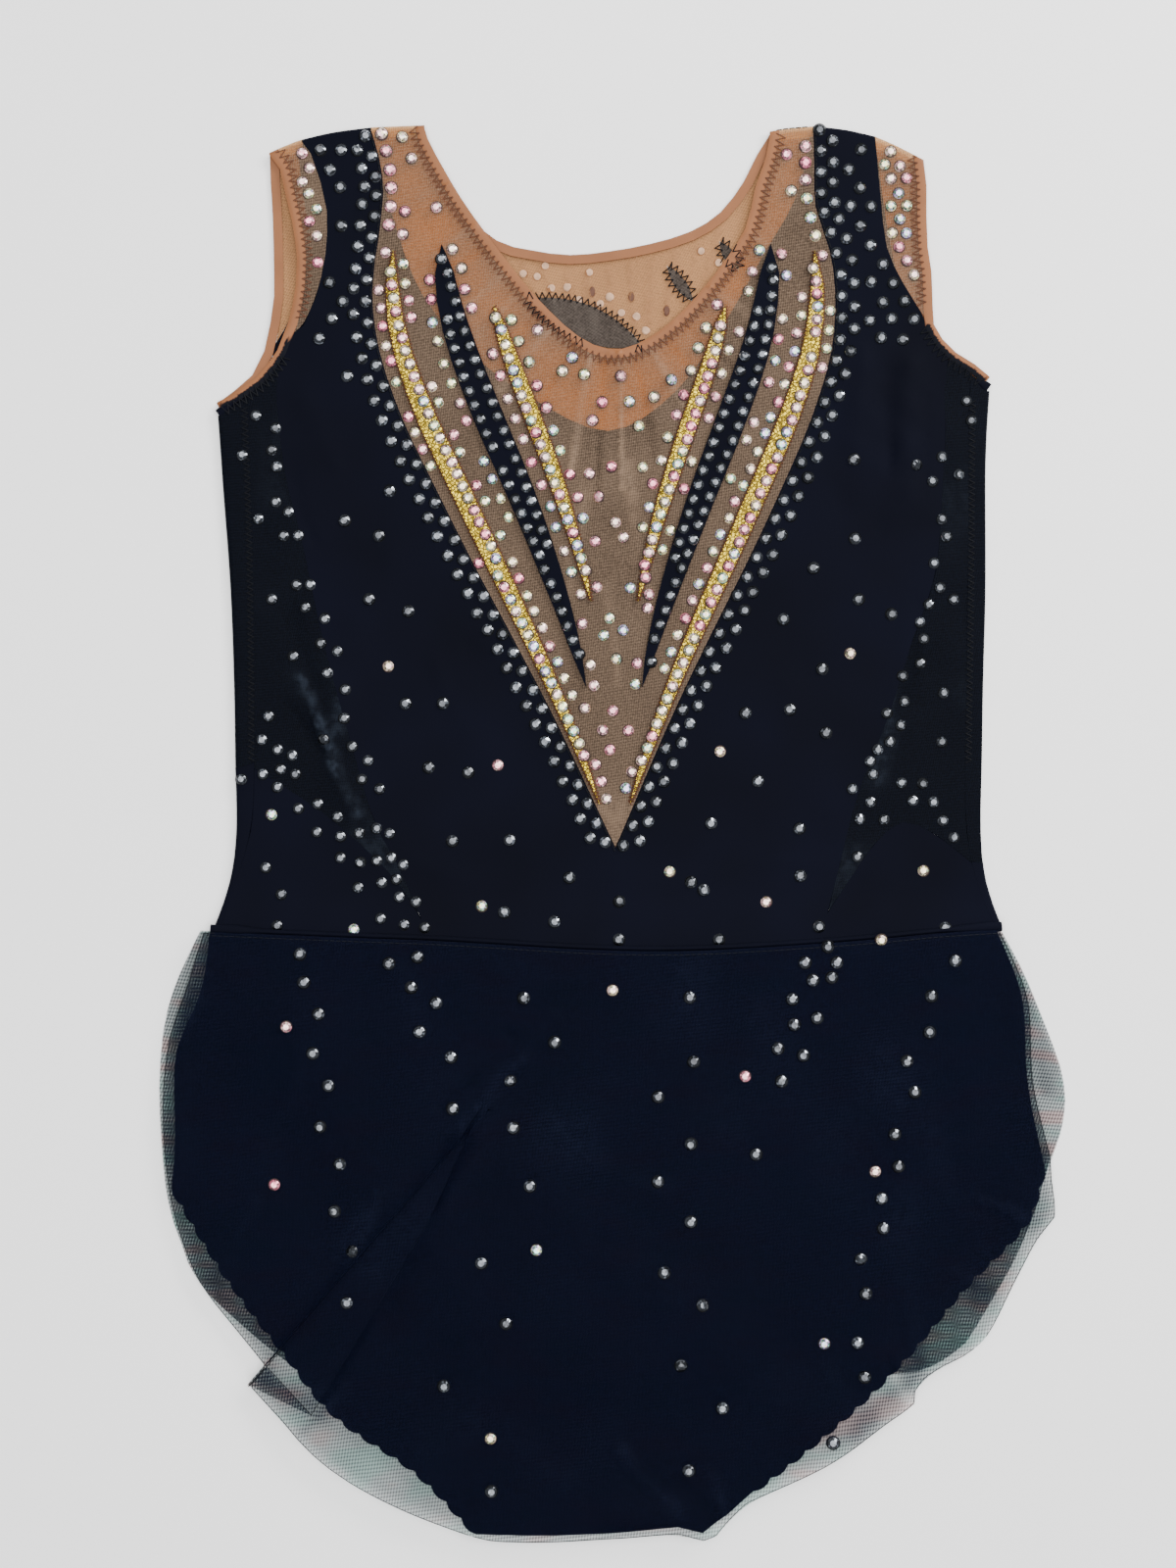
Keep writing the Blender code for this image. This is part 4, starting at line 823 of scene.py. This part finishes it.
def make_binding(node, middle, navy_below):
    """The shell of a binding's ring with a rounded crown and a shallow groove at its seam."""
    mesh = outer_side(solid_of(node), True)
    groups, rims = panels_of(mesh, True), []
    for group in groups:
        loops, shared = loops_of(group)
        rims += [(a.co.xy[:], b.co.xy[:]) for a, b in zip(loops[0], loops[0][1:] + loops[0][:1])
                 if frozenset((a, b)) not in shared]
    groups += panels_of(mesh, False)
    piece = start_shell(node, "satin", groups, BINDING_CELL, mesh)
    points = read_vertices(piece, "co") / MM
    on_top = read_vertices(piece, "normal")[:, 2] > 0.9
    share = np.clip(distance_to(points[:, :2], rims) / BINDING_ROUND, 0, 1)
    rise = BINDING_CROWN * np.sqrt(1 - (1 - share) ** 2) - BINDING_GROOVE
    points[on_top, 2] += rise[on_top]
    points[:, 2] += crease_height(points[:, 0], points[:, 1], FRONT_KINDS) \
        * soft_step((points[:, 2] - FRONT_FROM) / 0.6)
    move_vertices(piece, points)
    sewn = sewn_side(node, middle)
    turned = distance_to(points[:, :2], list(zip(sewn, sewn[1:]))) < BINDING_TURNED
    turned &= (points[:, 2] > FRONT_LEVEL - 0.3) & (points[:, 1] < navy_below)
    set_attribute(piece, "turned", "POINT", turned.astype(float))
    thicken(piece, BINDING_WALL)
    return piece


for binding in BINDINGS:
    shells.append(make_binding(*binding))
surface = Surface(shells)


# Rolled seams: share of the line, half width and half height there
HIP_SIZES = ((0.0, 1.9, 1.0), (0.03, 2.0, 1.1), (0.07, 0.9, 0.9), (0.93, 0.9, 0.9), (0.97, 2.0, 1.1),
             (1.0, 1.9, 1.0))
HIP_ENDS = (155.6, -39.8), (-163.4, -40.7)
HIP_HEIGHT, UNDERARM_HEIGHT = 4.1, 1.8
# side, outer end, inner end, half width
UNDERARMS = (
    ("left", (-160.7, 170.3), (-152.6, 176.2), 1.7),
    ("right", (153.2, 180.6), (147.0, 184.9), 2.1),
)
ROLL_SIDES = 10


def make_roll(name, line, sizes, height):
    """A soft rolled seam of the body's cloth along a line, its middle at a height."""
    mesh = bmesh.new()
    rings = []
    spots = walk(line, 2.0)
    for n, (spot, right) in enumerate(spots):
        share = n / (len(spots) - 1)
        a = max((row for row in sizes if row[0] <= share), key=lambda row: row[0])
        b = min((row for row in sizes if row[0] >= share), key=lambda row: row[0])
        mix = (share - a[0]) / (b[0] - a[0]) if b[0] > a[0] else 0.0
        wide, high = (a[k] + (b[k] - a[k]) * mix for k in (1, 2))
        swell = 1 + 0.06 * math.sin(n * 0.9) + 0.04 * math.sin(n * 0.37)
        rings.append([mesh.verts.new((*(spot + right * wide * swell * math.cos(turn)),
                                      height + high * swell * math.sin(turn)))
                      for turn in (2 * math.pi * i / ROLL_SIDES for i in range(ROLL_SIDES))])
    for one, two in zip(rings, rings[1:]):
        for i in range(ROLL_SIDES):
            after = (i + 1) % ROLL_SIDES
            mesh.faces.new((one[i], one[after], two[after], two[i]))
    mesh.faces.new(rings[0][::-1])
    mesh.faces.new(rings[-1])
    bmesh.ops.recalc_face_normals(mesh, faces=mesh.faces)
    mesh.transform(Matrix.Scale(MM, 4))
    finish_piece(name, mesh, "navy")


# The skirt's seam on the body, a little thicker at the sides
hip_line = between(outlines("skirt_under")[0][0], *HIP_ENDS)
hip_seam = [spot + Vector((0, 1.2)) for spot in
            [hip_line[0] + Vector((2.6, 0.2)), *hip_line, hip_line[-1] + Vector((-0.8, 0.3))]]
make_roll("hip_seam", hip_seam, HIP_SIZES, HIP_HEIGHT)
for side, outer, inner, wide in UNDERARMS:
    make_roll("underarm_seam_" + side, [Vector(outer), Vector(inner)],
              ((0.0, wide, 0.7), (0.3, wide, 0.8), (1.0, 0.6, 0.7)), UNDERARM_HEIGHT)


# Stones
LARGE, SMALL = 2.65, 2.4          # radii of the two sizes, with their foil rims
RIM_FACETS, CROWN_FACETS, TABLE_FACETS = 16, 24, 8     # the order of a stone's faces
LIT_RIM = 5                       # how many of the rim's facets are painted bright, as a painted glint
LEAN = 0.045                      # how unevenly the stones are tilted
SINK = 0.08                       # how deep they sit in the cloth


def corners_of(sides, radius, height, turn=0.0):
    """The corners of a level polygon."""
    angles = [2 * math.pi * (i + turn) / sides for i in range(sides)]
    return [(radius * math.cos(angle), radius * math.sin(angle), height) for angle in angles]


def gem(radius):
    """A flat-backed faceted stone: its corners in millimetres and its faces."""
    sides, top, table = RIM_FACETS, TABLE_FACETS, 2 * RIM_FACETS
    points = corners_of(sides, radius, 0.0) + corners_of(sides, radius * 0.86, radius * 0.18) \
        + corners_of(top, radius * 0.5, radius * 0.44, 0.5) + [(0, 0, radius * 0.46)]
    faces = [(i, (i + 1) % sides, sides + (i + 1) % sides, sides + i) for i in range(sides)]
    for i in range(top):
        a, b, c = (sides + (2 * i + k) % sides for k in range(3))
        faces += [(a, b, table + i), (b, c, table + i), (c, table + (i + 1) % top, table + i)]
    faces += [(table + i, table + (i + 1) % top, table + top) for i in range(top)]
    return points, faces


def make_cones(name, cloth, rows, sides, depth):
    """Blunt cones in one piece: where each is, and its radius at the foot and on top."""
    mesh = bmesh.new()
    for place, foot, top in rows:
        bmesh.ops.create_cone(mesh, cap_ends=True, segments=sides, radius1=foot, radius2=top,
                              depth=depth, matrix=place)
    mesh.transform(Matrix.Scale(MM, 4))
    finish_piece(name, mesh, cloth, smooth=False)


class Stones:
    """Stones of one kind, joined in one piece, with at least a gap between them.

    crown and table are the ranges of the painted brightness of a stone's facets there, which stands in for
    what they reflect.
    """
    taken = []

    def __init__(self, crown, table):
        self.points, self.faces, self.shine, self.tints, self.spots = [], [], [], [], []
        self.crown, self.table, self.chance = crown, table, random.Random(5)

    def put(self, spots, radius, only=None, gap=0.15):
        """Set stones at the places that are free and lie on a cloth."""
        shape, sides = gem(radius)
        for spot in spots:
            if any((spot - other).length < radius + r + gap for other, r in Stones.taken
                   if abs(spot.x - other.x) < 8):
                continue
            found = surface.at(spot.x, spot.y, only)
            if found is None:
                continue
            height, normal = found
            Stones.taken.append((spot.copy(), radius))
            turn = normal.to_track_quat("Z", "Y").to_matrix() \
                @ Matrix.Rotation(self.chance.uniform(0, 1), 3, "Z") \
                @ Matrix.Rotation(self.chance.gauss(0, LEAN), 3, "X") \
                @ Matrix.Rotation(self.chance.gauss(0, LEAN), 3, "Y")
            seat = Vector((spot.x, spot.y, height - SINK))
            first = len(self.points)
            self.points += [seat + turn @ Vector(point) for point in shape]
            self.faces += [tuple(first + i for i in side) for side in sides]
            self.spots.append((seat, turn, radius))
            # Painted reflection: a run of the rim's facets gets a painted glint and the rest of the rim is
            # painted dark; the crown and table facets get brightnesses in their ranges, and a few crown
            # facets get the glint.
            painted_glint, lit = self.chance.uniform(0.75, 1.0), round(self.chance.gauss(10, 2.5))
            self.shine += [painted_glint if (i - lit) % RIM_FACETS < LIT_RIM else 0.0 for i in range(RIM_FACETS)]
            self.shine += [self.chance.uniform(*self.crown) if self.chance.random() < 0.9 else painted_glint
                           for _ in range(CROWN_FACETS)]
            self.shine += [self.chance.uniform(*self.table) for _ in range(TABLE_FACETS)]
            tint = self.chance.random()
            self.tints += [min(max(self.chance.gauss(tint, 0.12), 0.0), 1.0) for _ in sides]

    def make(self, name, cloth):
        mesh = bmesh.new()
        corners = [mesh.verts.new(point * MM) for point in self.points]
        for side in self.faces:
            mesh.faces.new([corners[i] for i in side])
        piece = finish_piece(name, mesh, cloth, smooth=False)
        set_attribute(piece, "facet", "FACE", self.shine)
        set_attribute(piece, "tint", "FACE", self.tints)

    def make_seats(self, name, cloth, wider):
        """Make the dark foil and glue that show round the stones."""
        make_cones(name, cloth, [(Matrix.Translation(seat) @ turn.to_4x4(), radius * wider, radius)
                                 for seat, turn, radius in self.spots], 18, 0.24)


STEP = 0.4                        # of the picture, in millimetres
MIDDLE = (626.5, 848.5)           # the step at the part's middle
SHIFT = (0.75, 0.06)              # and where that is in the frame


def places(pairs):
    """Places by the picture's steps across and down from its top left."""
    return [Vector(((across - MIDDLE[0]) * STEP + SHIFT[0], (MIDDLE[1] - down) * STEP + SHIFT[1]))
            for across, down in pairs]


def closed_line(node, faces_up=True):
    line = outlines(node, faces_up)[0][0]
    return line + line[:1]


# Loose stones, in steps of the picture
BODY_CLEAR = (
    (355, 385), (384, 392), (403, 450), (407, 485), (398, 502), (352, 532), (387, 547), (377, 612),
    (417, 624), (414, 718), (452, 718), (438, 783), (478, 788), (462, 858), (520, 857), (515, 930),
    (566, 940), (581, 895), (870, 470), (829, 580), (872, 550), (875, 612), (909, 627), (838, 683),
    (842, 748), (805, 724), (760, 728), (799, 632), (773, 797), (725, 840), (718, 908), (705, 900),
    (815, 845), (816, 893), (733, 958), (631, 958), (632, 919),
)
BODY_AB = (
    (397, 680), (508, 781), (492, 924), (867, 667), (734, 767), (683, 889), (781, 920), (897, 958),
    (941, 888),
)
SIDE_CLEAR_LEFT = (
    (262, 425), (282, 438), (248, 465), (278, 460), (283, 477), (282, 513), (295, 523), (264, 530),
    (290, 547), (305, 547), (317, 597), (303, 597), (278, 612), (312, 620), (332, 632), (328, 657),
    (345, 665), (300, 670), (335, 687), (353, 704), (352, 733), (331, 755), (360, 762), (376, 776),
    (370, 795), (388, 805), (275, 731), (268, 755), (284, 765), (299, 771), (247, 795), (269, 790),
    (287, 785), (302, 790), (284, 803), (305, 825), (325, 820), (345, 833), (324, 849), (348, 853),
    (367, 850), (385, 845), (398, 850), (348, 875), (368, 880), (385, 878), (400, 875), (412, 882),
    (366, 905), (390, 900), (405, 897), (408, 915), (425, 920), (389, 937), (413, 943), (434, 946),
    (272, 885), (288, 912), (284, 944),
)
SIDE_CLEAR_RIGHT = (
    (985, 410), (990, 430), (960, 467), (934, 476), (950, 492), (978, 485), (960, 530), (965, 548),
    (952, 575), (958, 600), (947, 617), (972, 612), (938, 635), (942, 652), (920, 690), (938, 677),
    (962, 707), (904, 728), (922, 716), (918, 740), (907, 757), (960, 757), (895, 765), (890, 790),
    (887, 777), (869, 805),
)
SIDE_AB = ((278, 831), (362, 948))
SKIRT_CLEAR = (
    (963, 946), (972, 979), (948, 1015), (946, 1051), (923, 1081), (931, 1112), (911, 1155), (915, 1188),
    (898, 1221), (900, 1251), (877, 1283), (882, 1318), (874, 1368), (881, 1403), (848, 1467), (835, 945),
    (843, 965), (820, 981), (852, 981), (828, 999), (847, 996), (807, 1018), (809, 1044), (832, 1037),
    (792, 1068), (818, 1075), (796, 1101), (703, 1016), (707, 1081), (671, 1117), (704, 1165), (770, 1175),
    (671, 1203), (704, 1244), (677, 1294), (716, 1327), (694, 1388), (736, 1432), (702, 1496), (535, 1017),
    (566, 1062), (521, 1101), (524, 1148), (541, 1206), (492, 1284), (517, 1345), (454, 1410), (502, 1517),
    (308, 972), (312, 1001), (327, 1033), (321, 1073), (337, 1106), (328, 1148), (348, 1186), (342, 1234),
    (361, 1274), (355, 1327), (398, 982), (427, 975), (421, 1006), (446, 1022), (429, 1051), (461, 1077),
    (463, 1129),
)
SKIRT_AB = (
    (891, 1193), (840, 1369), (759, 1096), (548, 1271), (501, 1463), (625, 1009), (294, 1046), (281, 1207),
)
STONE_BACKS = (
    (548, 282), (534, 279), (556, 271), (562, 294), (579, 293), (591, 306), (601, 278), (622, 303),
    (612, 310), (634, 319), (649, 323), (659, 337), (715, 256), (733, 268),
)
OVAL_BACKS = ((604, 298), (644, 303), (680, 317))

# Ranges of the painted brightness of the crown and table facets of the clear and the AB stones.
clear, ab = Stones((0.04, 0.36), (0.16, 0.5)), Stones((0.0, 0.9), (0.65, 1.0))

# Rows beside the stripes: stones, stripe, pitch, offset to the right, start, unevenness, seed, cloth,
# gap to other stones
STRIPE_ROWS = (
    (ab, "gold_long_", 5.4, -2.3, 1.0, 0.15, 11, "gold_long", 0.15),
    (ab, "gold_short_", 5.4, -2.0, 1.0, 0.15, 12, "gold_short", 0.15),
    (clear, "navy_long_", 6.2, -2.4, 1.0, 0.2, 13, "navy_long", 0.15),
    (ab, "gold_long_", 7.4, 3.0, 2.0, 0.5, 14, "front_yoke", 0.5),
    (ab, "gold_short_", 9.5, 3.2, 2.0, 0.6, 15, "front_yoke", 0.6),
    (ab, "navy_long_", 8.5, 3.0, 2.0, 0.6, 16, "front_yoke", 0.6),
)
# Rows beside the V: stones, radius, pitch, offset, start, unevenness, seed, cloth, gap, from where
NAVY_ROWS = (
    (clear, LARGE, 8.6, 2.9, 2.0, 0.2, 0, "front_body", 0.15, -1000),
    (clear, LARGE, 8.6, 8.0, 6.3, 0.35, 4, "front_body", 0.15, -1000),
)
MESH_ROWS = (
    (ab, LARGE, 7.2, -3.3, 3.0, 0.25, 60, "front_yoke", 0.5, 190),
    (ab, SMALL, 9.4, -9.0, 5.0, 0.6, 62, "front_yoke", 1.0, 170),
)
V_TOP_LEFT, V_FOOT, V_TOP_RIGHT = (-95, 286), (1, -6), (70, 284)
STRAPS, STRAPS_FROM = ((-130, -88), (88, 130)), 196
CLUSTER_BELOW = 22

yoke_line = outlines("front_yoke")[0][0]
v_lines = between(yoke_line, V_TOP_LEFT, V_FOOT), between(yoke_line, V_FOOT, V_TOP_RIGHT)


def put_v_rows(rows):
    """Set rows of stones beside both edges of the V."""
    for side, line in enumerate(v_lines):
        for stones, radius, pitch, offset, start, jitter, seed, cloth, gap, least in rows:
            spots = beside(line, pitch, offset, start, jitter, side + seed)
            stones.put([spot for spot in spots if spot.y > least], radius, cloth, gap)


put_v_rows(NAVY_ROWS)
for side in SIDES:
    for stones, stripe, pitch, offset, start, jitter, seed, cloth, gap in STRIPE_ROWS:
        edge = closed_line(stripe + side)
        stones.put(beside(edge, pitch, offset, start, jitter, seed), SMALL, cloth, gap)
put_v_rows(MESH_ROWS)
ab.put(fill(yoke_line, 11.0, 3.4, 2.8, 21, 0.6), SMALL, "front_yoke", gap=1.8)

# Navy straps between the V and the armholes, and the mesh beside them
body_line = outlines("front_body")[0][0]
for low, high in STRAPS:
    strap = [point for point in fill(body_line, 8.8, 2.9, 0.5, 31)
             if low < point.x < high and point.y > STRAPS_FROM]
    clear.put(strap, LARGE, "front_body", gap=0.9)
for side in SIDES:
    for line, _ in outlines("front_arm_mesh_" + side):
        ab.put(fill(line, 6.4, 2.1, 0.4, 41), SMALL, "front_arm_mesh", gap=0.4)

clear.put(places(BODY_CLEAR), LARGE)
ab.put(places(BODY_AB), SMALL)

# Side insets: rows that follow the curve of the inset, and clusters at its foot
clear.put(places(SIDE_CLEAR_LEFT), SMALL, gap=0.1)
clear.put(places(SIDE_CLEAR_RIGHT), SMALL, gap=0.1)
side_right = outlines("front_side_mesh_right")[0][0]
cluster = [spot for spot in fill(side_right, 8.4, 2.2, 1.5, 51, 0.85) if spot.y < CLUSTER_BELOW]
clear.put(cluster, SMALL, gap=0.8)
ab.put(places(SIDE_AB), SMALL)

# Skirt
clear.put(places(SKIRT_CLEAR), LARGE)
ab.put(places(SKIRT_AB), SMALL)

clear.make("stones_clear", "crystal_clear")
clear.make_seats("seats_clear", "seat", 1.09)
ab.make("stones_ab", "crystal_ab")
ab.make_seats("seats_ab", "foil_edge", 1.10)


# Backs of the stones on the back inset, seen through the neck
def make_backs(name, spots, radius, stretch, cloth):
    rows = []
    for spot in spots:
        found = surface.at(spot.x, spot.y)
        height = (found[0] if found else 0.4) + 0.02
        seat = Matrix.Translation((spot.x, spot.y, height)) @ Matrix.Diagonal((1, stretch, 1, 1))
        rows.append((seat, radius, radius * 0.72))
    make_cones(name, cloth, rows, 14, 0.3)


make_backs("stone_backs", places(STONE_BACKS), 1.8, 1.0, "crystal_back")
make_backs("oval_backs", places(OVAL_BACKS), 1.3, 1.8, "brown_thread")


# Stitches
class Stitches:
    """Thread of one colour, laid over the cloth in zigzags and runs."""

    def __init__(self, radius):
        self.mesh, self.radius = bmesh.new(), radius

    def tube(self, a, b):
        run = b - a
        if run.length < 0.05:
            return
        turn = run.to_track_quat("Z", "Y").to_matrix().to_4x4()
        middle = Matrix.Translation((a + b) / 2) @ turn
        bmesh.ops.create_cone(self.mesh, cap_ends=True, segments=5, radius1=self.radius,
                              radius2=self.radius, depth=run.length + self.radius, matrix=middle)

    def follow(self, spots, lift, step, only=None, free=lambda spot: True):
        """Join places on the cloth, but not where its height changes by a step."""
        last = None
        for spot in spots:
            found = surface.at(spot.x, spot.y, only)
            point = Vector((*spot, found[0] + lift)) if found else None
            if point and last and abs(point.z - last.z) < step and free(spot):
                self.tube(last, point)
            last = point

    def zigzag(self, line, near, far, pitch):
        """Stitch to and fro between two offsets to the right of a line."""
        self.follow([spot + right * (far if n % 2 else near)
                     for n, (spot, right) in enumerate(walk(line, pitch / 2))], self.radius * 0.5, 1.5)

    def run(self, line, offset, pitch, gap):
        """Stitch a plain running line beside a line."""
        for spot, right in walk(line, pitch):
            start = spot + right * offset
            end = start + Vector((-right.y, right.x)) * (pitch - gap)
            self.follow([start, end], self.radius * 0.4, 1.0)

    def outline(self, line, only):
        """Lay a thread round a closed line on one cloth, where the opaque skirt doesn't lie below."""
        self.follow([spot - right * 0.2 for spot, right in walk(line + line[:1], 2.5)], 0.0, 1.2, only,
                    lambda spot: surface.at(spot.x, spot.y, "skirt_under") is None)

    def make(self, name, cloth):
        self.mesh.transform(Matrix.Scale(MM, 4))
        finish_piece(name, self.mesh, cloth, smooth=False)


brown, black, hem = Stitches(0.24), Stitches(0.25), Stitches(0.16)
SIDE_SEAMS = (                    # side, start and end of the inset's seam on the body
    ("left", (-148, 173), (-147, 30)),
    ("right", (150, 25), (147, 173)),
)

for node, middle, navy_below in BINDINGS:
    seam = sewn_side(node, middle)
    brown.zigzag([spot for spot in seam if spot.y >= navy_below], -0.9, 2.9, 2.7)
    black.zigzag([spot for spot in seam if spot.y < navy_below], -0.9, 2.9, 2.7)
for side, start, end in SIDE_SEAMS:
    black.zigzag(between(outlines("front_side_mesh_" + side)[0][0], start, end), 0.2, 2.6, 2.4)
for line in v_lines:
    black.run(line, 0.9, 2.6, 0.7)
hem.run(hip_line, -1.3, 2.4, 0.9)
for stripe in ("gold_long_", "gold_short_"):
    for side in SIDES:
        brown.zigzag(closed_line(stripe + side), -0.25, 0.9, 1.6)
for leaf in ("large", "middle", "small"):
    black.zigzag(closed_line("back_leaf_" + leaf, False), -2.4, 0.5, 2.6)
for node, faces_up in (("skirt_front", True), ("skirt_back", False)):
    for edge, _ in outlines(node, faces_up):
        hem.outline(edge, node)
hem.make("hem_edges", "hem_thread")
brown.make("stitches_brown", "brown_thread")
black.make("stitches_black", "black_thread")


# Floor, light and camera
FLOOR_REACH = 3.0                 # in metres
FLOOR_DROP = 0.4                  # the floor's depth below the part
FLOOR_COLOUR = (0.88, 0.87, 0.86)
SKY_COLOUR, SKY_STRENGTH = (0.80, 0.84, 0.90, 1.0), 0.62
CENTRE = VIEW_CENTRE * MM


def plain(name, colour, roughness):
    nodes = Nodes(name)
    shade = nodes.ramp(nodes.noise(400.0, 1.0), (0.2, scaled(colour, 0.985)), (0.8, colour))
    return nodes.principled(shade, Roughness=roughness, Specular_IOR_Level=0.1)


floor_mesh = bpy.data.meshes.new("floor")
floor_mesh.from_pydata([(x * FLOOR_REACH, y * FLOOR_REACH, 0)
                        for x, y in ((-1, -1), (1, -1), (1, 1), (-1, 1))], [], [(0, 1, 2, 3)])
floor = add_object("floor", floor_mesh)
floor.location.z = cad_low[2] - FLOOR_DROP * MM
floor_mesh.materials.append(plain("floor", FLOOR_COLOUR, 0.9))
floor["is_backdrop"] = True


def area_light(name, place, width, height, power):
    """A light in metres and watts that is turned to the middle of the view."""
    light = bpy.data.lights.new(name, "AREA")
    light.shape = "RECTANGLE"
    light.size, light.size_y, light.energy = width, height, power
    lamp = add_object(name, light)
    lamp.location = place
    lamp.rotation_euler = (Vector((*CENTRE, 0)) - lamp.location).to_track_quat("-Z", "Y").to_euler()


area_light("ceiling", (*CENTRE, 2.4), 2.4, 3.2, 126.0)
area_light("glint", (0.94, 0.94, 0.70), 1.3, 0.45, 34.0)

world = bpy.data.worlds.new("world")
world.use_nodes = True
background = world.node_tree.nodes["Background"]
background.inputs["Color"].default_value = SKY_COLOUR
background.inputs["Strength"].default_value = SKY_STRENGTH
bpy.context.scene.world = world

camera_data = bpy.data.cameras.new("camera")
camera_data.lens, camera_data.sensor_width = LENS, SENSOR
camera = add_object("camera", camera_data)
camera.location = (*CENTRE, VIEW_LENGTH * MM * LENS / SENSOR)
bpy.context.scene.camera = camera

low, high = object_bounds()
